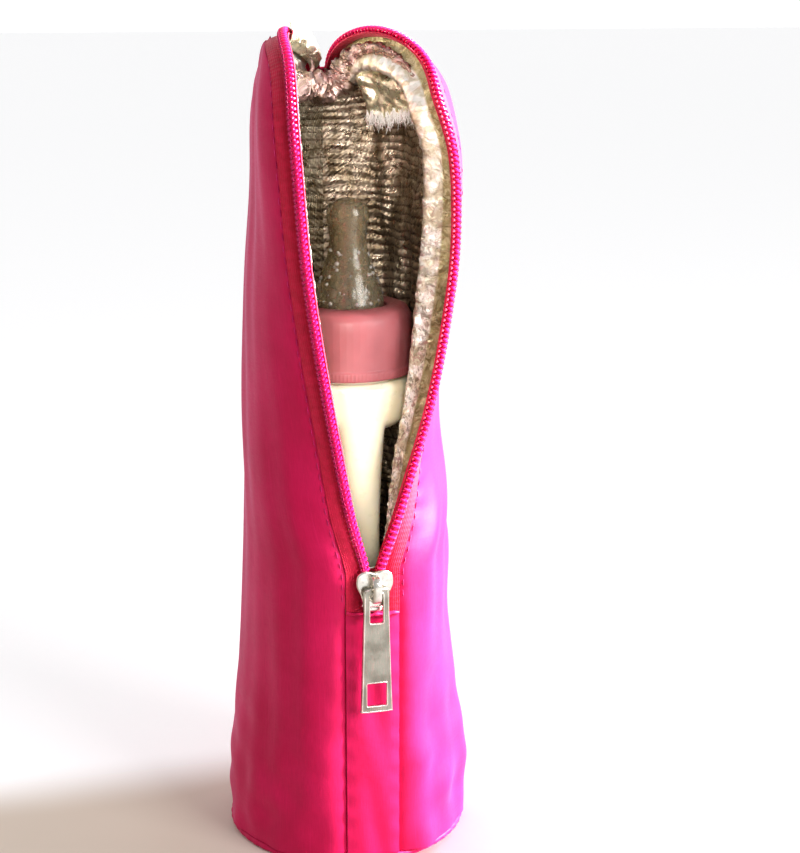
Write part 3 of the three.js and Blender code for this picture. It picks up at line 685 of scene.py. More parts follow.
def foil_look(name, bright, dark, ribbed=False, upright=0.0):
    """Aluminium foil laminate: crinkled, pitted, and embossed with close level ribs where it lines the wall,
    with painted shade in the grooves between the ribs. upright is the share of tall creases that run over
    the ribs, and also sets how much painted highlight lies along them."""
    look = Look(name, Metallic=0.92)
    flat = look.flat()
    crease = look.cells(look.stretched(flat, (0.8, 1.0, 1)), 5.0, "DISTANCE_TO_EDGE")
    fine = look.noise(flat, 0.9, 4, 0.65, 0.6)
    blotch = look.noise(flat, 7.0, 4, 0.6, 0.8)
    base = look.over(bright, blotch, 0.35, 0.65, dark)
    base = look.over(base, fine, 0.5, 0.75, (0.16, 0.12, 0.07), 0.65)
    if ribbed:
        level = look.math("ADD", look.part(flat, "Y"), look.times(look.noise(flat, 16, 2), 5.0))
        rib = look.wave(level, RIB_PITCH)
        weave = look.wave(look.math("ADD", look.times(look.part(flat, "X"), 0.8), level), 1.5)
        tall = look.noise(look.flat((2.6, 0.12, 1)), 1.0, 3)
        look.bump(tall, 0.6 + 2.0 * upright, 0.3 + 0.7 * upright)
        # The pale colour along the tall creases is a painted highlight.
        base = look.over(base, tall, 0.56, 0.66, (0.95, 0.88, 0.66), 0.2 + 0.6 * upright)
        look.bump(rib, 0.16, 0.8 - 0.4 * upright)
        look.bump(weave, 0.05, 0.8)
        # Painted shade: the grooves between the ribs are darkened.
        base = look.mix(look.span(rib, -1.0, -0.5, 0.6, 0.0), base, (0.09, 0.06, 0.04))
    look.colour(base)
    look.rough(look.noise(flat, 2.5, 4), 0.2, 0.46)
    look.bump(look.span(crease, 0.0, 0.25), 0.35, 0.6)
    look.bump(blotch, 0.9, 0.55)
    look.bump(fine, 0.22, 0.9)
    return look.material


def band_look(name, ridge, bright, dull):
    """The facing's foil: a dull olive half beside the coil, and a half of painted highlight with patches of
    painted shade, crumpled lower down, where specks of painted shade with a pink painted reflection lie.
    """
    look = Look(name, Metallic=0.85)
    flat = look.flat()
    patch = look.noise(flat, 5, 4, 0.6, 0.6)
    fine = look.noise(flat, 2.4, 5, 0.7, 1.2)
    tint = look.noise(flat, 2.3, 3, 0.6, 0.8)
    crumpled = look.span(look.part(flat, "Y"), 70, 150, 1.0, 0.12)
    outer = look.over((0.46, 0.42, 0.24), patch, 0.35, 0.65, (0.24, 0.20, 0.10))
    outer = look.over(outer, fine, 0.45, 0.6, (0.70, 0.64, 0.44), 0.6)
    # The inner half's bright and dull patches are painted highlight and painted shade.
    inner = look.over(bright, patch, 0.4, 0.6, dull)
    # Lower down, specks of painted shade with a pink painted reflection fill the crumples.
    painted_crumple_shade = look.times(look.span(fine, 0.46, 0.6, 0.0, 0.7), crumpled)
    inner = look.mix(painted_crumple_shade, inner, look.over((0.14, 0.11, 0.06), tint, 0.45, 0.6, (0.42, 0.22, 0.20)))
    look.colour(look.over(inner, look.part(flat, "X"), ridge - 0.5, ridge + 0.5, outer))
    look.rough(look.noise(flat, 1.6, 3), 0.28, 0.5)
    look.bump(patch, 0.35, 0.6)
    look.bump(look.times(fine, crumpled), 1.6, 1.0)
    return look.material


def foam_look():
    look = Look("foam", Subsurface_Weight=0.2, Subsurface_Scale=0.002)
    pores = look.cells(look.solid(), 0.9)
    look.colour(look.over((0.70, 0.68, 0.62), pores, 0.1, 0.5, (0.88, 0.87, 0.83)))
    look.rough(pores, 0.95, 0.8, 0.0, 0.5)
    look.bump(pores, 0.25, 0.8)
    return look.material


def metal_look(name, low, high, roughest, stretch=(1, 1, 1), **sockets):
    look = Look(name, Metallic=1.0, **sockets)
    grain = look.noise(look.solid(stretch), 0.7, 4)
    base = look.over(low, look.noise(look.solid(), 5.0, 3), 0.3, 0.7, high)
    look.colour(look.over(base, grain, 0.45, 0.8, (0.34, 0.33, 0.32), 0.35))
    look.rough(grain, 0.2, roughest)
    look.bump(grain, 0.03, 0.5)
    look.bump(look.noise(look.solid(), 0.25, 2), 0.015, 0.5)
    return look.material


SATIN = satin_look()
TAPE = tape_look()
COIL = noise_look(
    "zip_coil", (4.0, 3, (0.62, 0.008, 0.10), (0.78, 0.016, 0.18)), (0.5, 3, 0.22, 0.42),
    [(0.4, 2, 0.04, 0.4)], False, Specular_IOR_Level=0.35, Coat_Weight=0.15, Coat_Roughness=0.2,
    Subsurface_Weight=0.12, Subsurface_Radius=(1, 0.2, 0.4), Subsurface_Scale=0.001)
THREAD = thread_look("pink_thread", (0.62, 0.006, 0.16))
WHITE_THREAD = thread_look("white_thread", (0.95, 0.92, 0.91))
FOIL_RIGHT = foil_look("foil_lining", (0.66, 0.56, 0.46), (0.32, 0.25, 0.175), True)
# The left wall's lining is a darker copy of the same foil: painted shade, with more painted highlight on its
# tall creases.
FOIL_LEFT_SHADED = foil_look("foil_lining_left_shaded", (0.60, 0.53, 0.43), (0.26, 0.215, 0.15), True, 0.6)
FOIL_PLAIN = foil_look("foil_edging", (0.90, 0.87, 0.78), (0.55, 0.50, 0.30))
FOIL_PALE = foil_look("foil_reverse", (0.92, 0.90, 0.76), (0.70, 0.68, 0.48))
# The hem's foil is tinted pink: a painted reflection of the satin round it.
FOIL_PINK_REFLECTION = foil_look("foil_hem_pink_reflection", (0.72, 0.52, 0.50), (0.30, 0.22, 0.17))
# Lit and shaded copies of one facing foil: the left band's inner half is darker, painted shade, and the
# right one's is near white, painted highlight.
BAND_LEFT_SHADED = band_look("foil_band_left_shaded", 18.0, (0.62, 0.60, 0.54), (0.36, 0.34, 0.28))
BAND_RIGHT_LIT = band_look("foil_band_right_lit", 19.9, (1.0, 0.98, 0.93), (0.70, 0.64, 0.50))
FOAM = foam_look()
METAL = metal_look("nickel", (0.64, 0.61, 0.55), (0.90, 0.87, 0.81), 0.27)
BRUSHED = metal_look("brushed_nickel", (0.30, 0.285, 0.24), (0.46, 0.44, 0.38), 0.36, (3.5, 3.5, 0.12),
                     Anisotropic=0.5)
BOTTLE = noise_look(
    "bottle_plastic", (22, 3, (0.86, 0.78, 0.58), (0.92, 0.86, 0.69)), (3.0, 3, 0.26, 0.38),
    [(8.0, 2, 0.15, 0.25), (0.5, 2, 0.01, 0.4)], Specular_IOR_Level=0.5, Subsurface_Weight=0.35,
    Subsurface_Radius=(1, 0.8, 0.5), Subsurface_Scale=0.004, Coat_Weight=0.2, Coat_Roughness=0.12)
COLLAR = noise_look(
    "collar_plastic", (14, 3, (0.30, 0.092, 0.102), (0.35, 0.115, 0.127)), (1.2, 3, 0.34, 0.5),
    [(0.45, 2, 0.02, 0.5)], Specular_IOR_Level=0.45, Subsurface_Weight=0.2,
    Subsurface_Radius=(1, 0.35, 0.3), Subsurface_Scale=0.003)
TEAT = noise_look(
    "teat_silicone", (9, 3, (0.66, 0.58, 0.40), (0.72, 0.64, 0.46)), (2.0, 3, 0.16, 0.3),
    [(1.4, 3, 0.08, 0.35)], Transmission_Weight=0.8, IOR=1.41, Subsurface_Weight=0.3,
    Subsurface_Radius=(1, 0.8, 0.6), Subsurface_Scale=0.004, Coat_Weight=0.3, Coat_Roughness=0.08)
# The drops are near white: painted highlights on clear drops.
DROPLET = noise_look(
    "drops_painted_white_glints", (1.0, 3, (0.9, 0.88, 0.82), (1.0, 0.98, 0.93)), (0.8, 3, 0.05, 0.15), (), False,
    Transmission_Weight=0.55, IOR=1.34)


# ---- The side walls
def level_heights(rows, top=WALL_TOP):
    return np.linspace(WALL_BOTTOM, top, rows)


def panel_relief(side, grid):
    """How far the satin stands off its smooth shape: soft folds, creases by the base, puckered seams."""
    along = arc_lengths(grid)
    height = grid[..., 2]
    edge = np.minimum(along, along[:, -1:] - along)
    folds = Waves(3 + side.sign, 26, 190)(along, height)
    soft = Waves(13 + side.sign, 60, 85)(along, height)
    creases = Waves(23 + side.sign, 30, 26)(along, height)
    pucker = np.sin(2 * math.pi * height / PUCKER_PITCH + 1.7 * Waves(33, 20, 20)(along, height))
    low = 1 - smooth(height, 20, 70)
    free = smooth(edge, 0, 14)
    rolled = 1 - smooth(height, 76, 90)
    return (side.slack * free * (0.75 * folds + 0.8 * soft + 0.7 * low * creases)
            + (0.22 - 0.14 * rolled) * pucker * np.exp(-edge / 2.6)
            - (0.35 + 0.75 * rolled) * np.exp(-edge / (1.2 + 1.2 * rolled)))


def side_panel(side):
    heights = level_heights(PANEL_ROWS)
    grid = np.array([wall_row(side, height, PANEL_COLUMNS) for height in heights])
    normals = grid_normals(grid, side.sign)
    outer = grid + normals * panel_relief(side, grid)[..., None]
    uv = grid_map(arc_lengths(grid), grid[..., 2])
    piece = sheet_piece(f"{side.name}_satin_panel", outer, outer - normals * SHELL_DEPTH, SATIN, "satin", uv,
                        side.sign < 0)
    weights = wall_weights(side, heights, PANEL_COLUMNS)
    follow_flap(piece, side, np.stack([weights, weights]), f"{side.name}_side_panel")
    return outer


def wall_layer(side, name, slot, look, depths, shape, relief, node):
    """A layer inside the wall that also reaches across behind the front and back strips."""
    rows, columns = shape
    heights = level_heights(rows, LINING_TOP)
    wall = np.array([wall_row(side, height, columns) for height in heights])
    normals = -grid_normals(wall, side.sign)
    weights = wall_weights(side, heights, columns)
    steps = LAYER_EDGE_STEPS
    grid, inward = [], []
    for row, height in enumerate(heights):
        crosses = height < LINING_NOTCH
        reach = CENTRE_GAP if crosses else PANEL_EDGE - 0.3
        ahead_of = np.linspace(reach, PANEL_EDGE, steps)[:-1]
        behind = np.linspace(PANEL_EDGE, CENTRE_GAP, steps)[1:]
        front = [front_point(side, height, offset) for offset in ahead_of]
        back = [back_point(side, height, offset) for offset in behind]
        ahead = np.array([0.0, 1.0, 0.0]) if crosses else normals[row, 0]
        grid.append(np.vstack([front, wall[row], back]))
        inward.append(np.vstack([np.tile(ahead, (steps - 1, 1)), normals[row],
                                 np.tile(back_inward(height), (steps - 1, 1))]))
    grid, inward = np.array(grid), unit(np.array(inward))
    edges = ((0, 0), (steps - 1, steps - 1))
    shares = np.pad(weights, edges, mode="edge")
    shift = np.maximum(relief(grid), 0) if relief else 0 * grid[..., 0]
    shift = shift - np.pad(panel_relief(side, wall), edges)
    outer, inner = (grid + inward * (depth + shift)[..., None] for depth in depths)
    uv = grid_map(arc_lengths(grid), grid[..., 2])
    piece = sheet_piece(f"{side.name}_{name}", outer, inner, look, slot, uv, side.sign < 0)
    follow_flap(piece, side, np.stack([shares, shares]))
    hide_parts(node)


def liner_relief(grid):
    """Foil pushed into the wall between its ribs, and slack folds, as depth into the bag."""
    along = arc_lengths(grid)
    height = grid[..., 2]
    slack = Waves(41, 18, 60)(along, height)
    ribs = np.sin(2 * math.pi * (height + 1.2 * Waves(42, 30, 40)(along, height)) / RIB_PITCH)
    gathers = Waves(43, 7, 45)(along, height)
    return 0.9 + 0.7 * slack + 0.12 * ribs + 0.25 * gathers


PANELS = {}
for one, foil in ((LEFT, FOIL_LEFT_SHADED), (RIGHT, FOIL_RIGHT)):
    PANELS[one.name] = side_panel(one)
    wall_layer(one, "insulation", "foam", FOAM, FOAM_DEPTHS, FOAM_GRID, None, f"{one.name}_foam")
    wall_layer(one, "foil_lining", "foil", foil, LINER_DEPTHS, LINER_GRID, liner_relief, f"{one.name}_liner")


# ---- Front and back strips
def strip_relief(height, share):
    """The strip swells between its two seams and puckers along them."""
    swell = 0.55 * (1 - np.abs(share) ** 3)
    pucker = 0.16 * np.sin(2 * math.pi * height / PUCKER_PITCH) * smooth(np.abs(share), 0.6, 1)
    return swell + pucker + 0.3 * Waves(51, 14, 60)(share * STRIP_HALF, height) * (1 - share ** 2) - 0.35


def strip_piece(name, node, top, rows, place):
    """A satin strip from the base up; place gives the points for grids of heights, shares and reliefs."""
    height, share = np.meshgrid(np.linspace(WALL_BOTTOM, top, rows), np.linspace(-1, 1, 17), indexing="ij")
    relief = strip_relief(height, share)
    outer, inner = place(height, share, relief), place(height, share, relief - SHELL_DEPTH)
    piece = sheet_piece(name, outer, inner, SATIN, "satin", grid_map(share * STRIP_HALF, height), False)
    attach(piece, "bag")
    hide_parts(node)


def front_place(height, share, relief):
    return np.stack([share * (STRIP_HALF + 0.2), -FRONT_DEPTH - relief, height], -1)


def back_place(height, share, relief):
    points = np.empty(height.shape + (3,))
    for row, level in enumerate(height[:, 0]):
        points[row] = back_point(RIGHT, level, 0.0) - back_inward(level) * relief[row][:, None]
    points[..., 0] = -share * (STRIP_HALF + 0.2)
    return points


def strip_fold():
    """The front strip's top edge, folded over and pulled tight across the ends of the tapes."""
    top = node_box("front_strip")[1][2]
    across = np.linspace(-STRIP_HALF, STRIP_HALF, 60)
    share = across / STRIP_HALF
    sag = 0.5 * share ** 2 + 0.15 * np.sin(across * 1.3)
    depth = -FRONT_DEPTH - strip_relief(top - 1, share) - 0.25
    path = np.stack([across, depth, top - 0.5 - 0.6 * share + sag], -1)
    fold = tube(path, 0.55 + 0.08 * np.sin(across * 2.1), 12)
    body_piece("bag", None, "front_strip_fold", fold, SATIN, "satin", uv=fold[0][:, [0, 2]])


strip_piece("front_satin_strip", "front_strip", node_box("front_strip")[1][2], 60, front_place)
strip_piece("back_satin_strip", "back_strip", BACK_STRIP_TOP, 130, back_place)
strip_fold()


# ---- Zip: tapes, coils, facings and stitching
def seam_share(side, s):
    """How far a point of the zip follows its flap."""
    return np.degrees(turn_at(side, s)) / side.most


def ribbon(side, name, slot, look, section, thick, start, end, rows, node, relief=None):
    """A strip along the zip. section lists (offset, lift) across it; one with a relief is a facing, and is
    narrower near the slider."""
    s = np.linspace(start, end, rows)[:, None]
    section = np.array(section, float)
    offset, lift = section.T
    columns = len(section)
    across = np.gradient(section, axis=0)
    normal = unit(np.stack([-across[:, 1], across[:, 0]], -1))
    narrow = FACING_KEEP * (1 - smooth(s, 25, 95)) if relief else 0
    lift = lift - narrow * np.minimum(lift + 4.0, 0)
    swell = relief(s, np.arange(columns)[None, :]) if relief else np.zeros((rows, columns))
    outer, inner = (edge_point(side, s, offset + normal[:, 0] * out, lift + normal[:, 1] * out)
                    for out in (swell, swell - thick))
    steps = np.hypot(*np.diff(section, axis=0).T)
    flat = offset[0] + np.concatenate([[0], np.cumsum(steps)])
    piece = sheet_piece(name, outer, inner, look, slot, grid_map(flat[None, :], s), side.sign < 0)
    weights = np.repeat(seam_share(side, s), columns, axis=1)
    follow_flap(piece, side, np.stack([weights, weights]), node)


def zip_tape(side):
    ribbon(side, f"{side.name}_tape", "zip_tape", TAPE, TAPE_SECTION, 0.5, TAPE_START, ZIP_END, 260,
           f"{side.name}_zip_tape")


def facing_relief(s, column):
    """Small dents everywhere, and deep crumples near the slider, where the foil is bunched up."""
    bunched = 1 - smooth(s, 25, 70)
    dents = 0.2 * Waves(61, 6, 3.2)(s, column) + 0.16 * Waves(62, 2.4, 2.5)(s, column)
    crumples = bunched * 0.5 * Waves(63, 7, 4)(s, column)
    return (dents + crumples) * np.sin(np.clip(column / 16, 0, 1) * math.pi)


def zip_facing(side, section, look):
    """The foil band that closes the wall's edge: from behind the coil, over a crease, onto the lining."""
    section = even(np.array([(x, y, 0) for x, y in section]), 17)[:, :2]
    ribbon(side, f"{side.name}_foil_facing", "foil", look, section[::-1], 0.3, 1, ZIP_END - 5, 420,
           f"{side.name}_zip_facing", facing_relief)


def zip_coil(side):
    """One nylon coil, wound as real turns with a flat pressed back, round a core of cord."""
    s = np.linspace(ZIP_START, ZIP_END, int((ZIP_END - ZIP_START) / COIL_PITCH * TURN_STEPS))
    phase = 2 * math.pi * (s - ZIP_START) / COIL_PITCH
    offset = COIL_OFFSET + COIL_TURN[0] * np.cos(phase)
    path = edge_point(side, s, offset, COIL_LIFT + COIL_TURN[1] * np.sin(phase))
    middle = edge_point(side, s, COIL_OFFSET, COIL_LIFT)
    away = unit(path - middle)
    core = middle[::CORD_STEP]
    strand = tube(path, STRAND_RADIUS, STRAND_CORNERS, away)
    cord = tube(core, CORD_RADIUS, CORD_CORNERS, np.tile(away[0], (len(core), 1)))
    piece = new_piece(f"{side.name}_coil", joined([strand, cord]), COIL, "zip_coil")
    share = seam_share(side, s)
    shares = np.concatenate([np.repeat(share, STRAND_CORNERS), np.repeat(share[::CORD_STEP], CORD_CORNERS)])
    follow_flap(piece, side, shares, f"{side.name}_zip_coil")


def coil_stitches(side):
    """Two rows of thread that sew the coil down to the tape."""
    parts, shares = [], []
    for row, offset in enumerate(COIL_THREADS):
        s = np.linspace(ZIP_START + 0.3 * row, ZIP_END, 1100)
        lift = 0.95 - 0.45 * row + 0.16 * np.sin(2 * math.pi * s / COIL_PITCH)
        parts.append(tube(edge_point(side, s, offset, lift), COIL_THREAD_RADIUS, 5))
        shares.append(np.repeat(seam_share(side, s), 5))
    piece = new_piece(f"{side.name}_coil_thread", joined(parts), THREAD, "zip_coil")
    follow_flap(piece, side, np.concatenate(shares))


def stitches(place, start, end):
    """Separate stitches along a line: place(positions) gives points and their outward directions."""
    parts = []
    bow = np.sin(np.linspace(0, math.pi, 7))
    for index in range(int((end - start) / (STITCH + STITCH_GAP))):
        begin = start + index * (STITCH + STITCH_GAP)
        points, out = place(np.linspace(begin, begin + STITCH, 7))
        radius = STITCH_RADIUS * (0.45 + 0.55 * bow)
        parts.append(tube(points + out * (0.22 * bow - 0.1)[:, None], radius, 6, out))
    return parts


def panel_stitches(side, surface):
    """The seam's row of stitches down the panel's front edge and its back edge."""
    levels = level_heights(PANEL_ROWS)
    weights = wall_weights(side, levels, PANEL_COLUMNS)
    for name, column in (("front", 1), ("back", PANEL_COLUMNS - 3)):
        line = surface[:, column]
        steps = run_lengths(line)
        normals = grid_normals(surface, side.sign)[:, column]

        def place(at):
            return at_lengths(at, steps, line), unit(at_lengths(at, steps, normals))

        first = np.interp(SEWN_FROM, line[:, 2], steps) if name == "front" else 3.0
        sewn = joined(stitches(place, first, steps[-1] - 3.0))
        piece = new_piece(f"{side.name}_{name}_seam_stitches", sewn, THREAD, "satin")
        level = np.interp(sewn[0][:, 2], line[:, 2], levels)
        follow_flap(piece, side, np.interp(level, levels, weights[:, column]))


def squared(count, power_x, power_y):
    """Points round a circle, pushed out towards a square's corners by powers below 1."""
    angles = circle(count)
    return (np.sign(np.cos(angles)) * np.abs(np.cos(angles)) ** power_x,
            np.sign(np.sin(angles)) * np.abs(np.sin(angles)) ** power_y)


def stop_piece(name, node, centre, out, size):
    """A small crimped metal stop with soft corners."""
    width, depth, height = size
    side_way = np.array([1.0, 0.0, 0.0])
    share = np.linspace(-1, 1, 13)
    corner = squared(16, 0.5, 0.5)
    ring = (out * (corner[0] * depth / 2)[:, None]
            + np.cross(side_way, out) * (corner[1] * height / 2)[:, None])
    pinch = 1 - 0.35 * np.abs(share) ** 6
    rings = centre + side_way * (share * width / 2)[:, None, None] + ring[None] * pinch[:, None, None]
    body_piece("bag", node, name, tube_mesh(rings), METAL, "zip_metal")


def zip_stops():
    low, high = node_box("zip_bottom_stop")
    stop_piece("bottom_stop", "zip_bottom_stop", (low + high) / 2, np.array([0.0, -1.0, 0.0]), high - low)
    at, out = seam(np.array(SEAM_LENGTH + 0.6))
    stop_piece("top_stop", "zip_top_stop", at + out * 0.3, out, (6.0, 1.5, 1.5))


for one, section, band in ((LEFT, FACING_LEFT, BAND_LEFT_SHADED), (RIGHT, FACING_RIGHT, BAND_RIGHT_LIT)):
    zip_tape(one)
    zip_facing(one, section, band)
    zip_coil(one)
    coil_stitches(one)
    panel_stitches(one, PANELS[one.name])
zip_stops()


# ---- The lining's top: its hem, a loose folded corner, frayed threads and loose edges of foil
def lining_hem(side, spots, count):
    """Half of the lining's gathered top edge: a crushed roll of foil, fat behind the meeting of the flaps
    and thin where it follows the arch. Each spot is (arc length, offset, lift, radius)."""
    stations = np.linspace(0, len(spots) - 1, count)
    s, offset, lift, radius = (np.interp(stations, range(len(spots)), column)
                               for column in np.array(spots).T)
    for _ in range(6):
        for line in (offset, lift):
            line[1:-1] = (line[:-2] + 2 * line[1:-1] + line[2:]) / 4
    centre = edge_point(side, s, offset, lift)
    turns = circle(HEM_CORNERS)
    rings = tube_rings(centre, 1.0, HEM_CORNERS, np.tile([0.0, -1.0, 0.15], (count, 1)))
    along = s[:, None]
    gathers = 0.16 * np.sin(along * 1.15 + 0.9 * np.sin(turns)) + 0.12 * Waves(71, 5, 2.2)(along, turns * 2)
    crush = 0.1 * Waves(72, 2.0, 1.0)(along, turns * 2) + 0.06 * Waves(73, 0.9, 0.5)(along, turns * 2)
    swell = (radius[:, None] * (0.92 + gathers + crush))[..., None]
    rings = centre[:, None] + (rings - centre[:, None]) * swell
    uv = grid_map(turns * HEM_MAP, along).reshape(-1, 2)
    piece = new_piece(f"{side.name}_lining_hem", tube_mesh(rings), FOIL_PINK_REFLECTION, "foil", uv)
    follow_flap(piece, side, np.repeat(seam_share(side, s), HEM_CORNERS))


def folded_corner():
    """A loose corner of the lining, folded down over the right wall with a torn, frayed lower edge."""
    back_top, front_top, front_low, back_low = np.array(CORNER_POINTS)
    v, u = np.meshgrid(np.linspace(0, 1, 60), np.linspace(0, 1, 60), indexing="ij")
    top = back_top + (front_top - back_top) * u[..., None]
    low = back_low + (front_low - back_low) * u[..., None]
    out = unit(np.cross(front_top - back_top, back_low - back_top))
    folds = (0.7 * Waves(81, 0.7, 1.1)(u, v) + 0.28 * Waves(82, 0.25, 0.35)(u, v)
             + 0.1 * Waves(83, 0.08, 0.1)(u, v))
    fold_over = 2.4 * np.exp(-((v - 0.42) / 0.16) ** 2) + 1.2 * np.exp(-((u - 0.1) / 0.1) ** 2)
    grid = top + (low - top) * v[..., None] - out * (folds + fold_over)[..., None]
    grid[..., 2] += 0.9 * Waves(84, 0.12, 1)(u, v * 0) * smooth(v, 0.8, 1)
    piece = sheet_piece("folded_lining_corner", grid, grid + out * 0.25, FOIL_PALE, "foil",
                        grid_map(u, v) * 17, False)
    weight = wall_weights(RIGHT, [CORNER_LEVEL], 41)[0, 16]
    follow_flap(piece, RIGHT, weight)
    frayed_threads(grid[-1], weight)


def frayed_threads(edge, weight):
    """Short white threads that hang from the torn edge."""
    draw = np.random.default_rng(17)
    parts = []
    for _ in range(FRAYED_THREADS):
        start = edge[int(draw.integers(0, len(edge)))] + draw.normal(0, 0.2, 3)
        length = draw.uniform(1.2, 3.8)
        lean = np.array([draw.normal(0.1, 0.35), draw.normal(-0.25, 0.25), -1.0])
        curl = draw.normal(0, 0.5, 3)
        t = np.linspace(0, 1, 6)[:, None]
        path = start + lean * length * t + curl * t ** 2 * length * 0.4
        path[:, 2] += 0.8 * (1 - t[:, 0])
        parts.append(tube(path, np.linspace(0.11, 0.05, 6), 5, np.tile([0.0, 1.0, 0.0], (6, 1))))
    follow_flap(new_piece("frayed_threads", joined(parts), WHITE_THREAD, "foam"), RIGHT, weight)


def torn_sliver():
    """A thin curled sliver of foil that stands up from the hem beside the left flap."""
    foot = edge_point(LEFT, SLIVER_AT, 4.0, -8.0)
    t = np.linspace(0, 1, 24)
    path = foot + np.stack([0.9 * np.sin(t * 5) - 0.4 * t, -2.5 - 0.6 * t, 8.5 * t], -1)
    width = 0.75 * np.sin(np.clip(t * 1.25 + 0.12, 0, 1) * math.pi) ** 0.7 + 0.12
    side_way = np.stack([np.cos(t * 2.2), 0.5 * np.sin(t * 2.2), 0 * t], -1)
    across = np.linspace(-1, 1, 7)
    grid = path[:, None] + side_way[:, None] * (width[:, None] * across)[..., None]
    grid[..., 1] += 0.35 * across ** 2
    piece = sheet_piece("torn_foil_sliver", grid, grid + np.array([0.0, 0.18, 0.0]), FOIL_PINK_REFLECTION, "foil",
                        grid_map(across, (t * 11)[:, None]), False)
    follow_flap(piece, LEFT, seam_share(LEFT, SLIVER_AT))


def loose_flare():
    """A crumpled edge of the left facing, come free, that stands out of the gap by the arch's far side."""
    share, offset, lift = np.array(FLARE_SECTION).T
    up = np.linspace(0, 1, 30)[:, None]
    s = np.linspace(FLARE_START, FLARE_END, 80)[None] + 0 * up
    ends = smooth(s, FLARE_START, FLARE_START + 15) * (1 - smooth(s, FLARE_END - 12, FLARE_END))
    ragged = ends * (0.85 + 0.2 * Waves(91, 4, 1)(s, 0 * s))
    away = np.interp(up, share, offset) + 0.16 * Waves(92, 5, 0.8)(s, up)
    proud = np.interp(up, share, lift)
    proud = np.where(proud > 0, proud * ragged, proud)
    along = s + 0.8 * Waves(93, 5, 0.6)(s, up)
    grid, thick = (edge_point(LEFT, along, away + shift, proud) for shift in (0, 0.2))
    piece = sheet_piece("loose_foil_flare", grid, thick, FOIL_PALE, "foil", grid_map(s, up * 12), False)
    shares = seam_share(LEFT, s)
    follow_flap(piece, LEFT, np.stack([shares, shares]))


# ---- Slider and pull
def plate_mesh(outlines, front, back, bevel, dome=0.0):
    """A plate in the X-Z plane with rounded edges, from an outline and its windows. The distances are
    in front of the bag axis."""
    curve = bpy.data.curves.new("plate", "CURVE")
    curve.dimensions = "2D"
    curve.fill_mode = "BOTH"
    curve.extrude = ((front - back) / 2 - bevel) * MM
    curve.bevel_depth = bevel * MM
    curve.bevel_resolution = 3
    curve.offset = -bevel * MM
    for outline in outlines:
        spline = curve.splines.new("POLY")
        spline.points.add(len(outline) - 1)
        for point, (x, z) in zip(spline.points, outline):
            point.co = (x * MM, z * MM, 0, 1)
        spline.use_cyclic_u = True
    holder = bpy.data.objects.new("plate", curve)
    bpy.context.scene.collection.objects.link(holder)
    shape = holder.evaluated_get(bpy.context.evaluated_depsgraph_get())
    mesh = bpy.data.meshes.new_from_object(shape)
    points = np.array([vertex.co for vertex in mesh.vertices]) / MM
    faces = [tuple(polygon.vertices) for polygon in mesh.polygons]
    bpy.data.objects.remove(holder)
    bow = dome * (1 - (points[:, 0] / np.abs(points[:, 0]).max()) ** 2) * (points[:, 2] > 0)
    return np.stack([points[:, 0], -(points[:, 2] + (front + back) / 2 + bow), points[:, 1]], -1), faces


def smooth_outline(points, steps=6):
    """Catmull-Rom points through a closed list of points."""
    points = np.array(points, float)
    result = []
    for index in range(len(points)):
        p0, p1, p2, p3 = points[[(index + shift) % len(points) for shift in (-1, 0, 1, 2)]]
        for t in np.linspace(0, 1, steps, endpoint=False):
            result.append(0.5 * (2 * p1 + (p2 - p0) * t + (2 * p0 - 5 * p1 + 4 * p2 - p3) * t * t
                                 + (3 * p1 - p0 - 3 * p2 + p3) * t ** 3))
    return result


def rounded_window(half, low, high, corner=0.7):
    """A four-sided window with round corners."""
    result = []
    for cx, cz, start in ((half - corner, high - corner, 0), (-half + corner, high - corner, 90),
                          (-half + corner, low + corner, 180), (half - corner, low + corner, 270)):
        for angle in np.radians(np.linspace(start, start + 90, 6)):
            result.append((cx + corner * math.cos(angle), cz + corner * math.sin(angle)))
    return result


def zip_slider():
    low, high = node_box("slider_body")
    width, base, top = high[0], low[2], high[2]
    tall = top - base
    right = [(3.5, 0.0), (3.7, 0.12), (4.4, 0.34), (width * 0.97, 0.55), (width, 0.72), (width * 0.9, 0.9),
             (2.9, 1.0)]
    outline = [(x, base + share * tall) for x, share in right]
    outline = outline + [(0, base + 0.955 * tall)] + [(-x, z) for x, z in outline[::-1]]
    hidden = [(x * 0.72, z) for x, z in outline]
    front, back = -low[1], -high[1]
    post = np.array([[0, -(front + back) / 2 + shift, top - 3.2] for shift in np.linspace(-1.8, 1.8, 7)])
    casting = joined([plate_mesh([smooth_outline(outline)], front, front - 1.1, 0.42, 0.25),
                      plate_mesh([smooth_outline(hidden)], back + 0.45, back, 0.18),
                      tube(post, 0.4, 10)])
    body_piece("zip_slider", "slider_body", "slider_casting", casting, METAL, "zip_metal", sharp=50)


def slider_bridge():
    """The bow over the slider: a flat bar bent square, with its corners smoothed."""
    low, high = node_box("slider_bridge")
    foot = -high[1]
    reach = -low[1] - 0.6
    bottom, top = low[2] + 0.7, high[2] - 0.7
    line = [(foot, bottom), (foot + 1.6, bottom), (reach - 0.3, bottom + 1.0), (reach, bottom + 2.9),
            (reach, top - 2.6), (reach - 0.4, top - 0.8), (foot + 1.6, top), (foot, top)]
    route = even(np.array([(0.0, -y, z) for y, z in line]), 31)
    for _ in range(3):
        route[1:-1] = (route[:-2] + route[1:-1] * 2 + route[2:]) / 4
    side_way = np.array([1.0, 0.0, 0.0])
    rise = np.cross(unit(np.gradient(route, axis=0)), side_way)
    wide, tall = squared(20, 0.6, 0.7)
    rings = (route[:, None] + side_way * (wide * 1.3)[None, :, None]
             + rise[:, None] * (tall * 0.55)[None, :, None])
    body_piece("zip_slider", "slider_bridge", "slider_bow", tube_mesh(rings), METAL, "zip_metal")


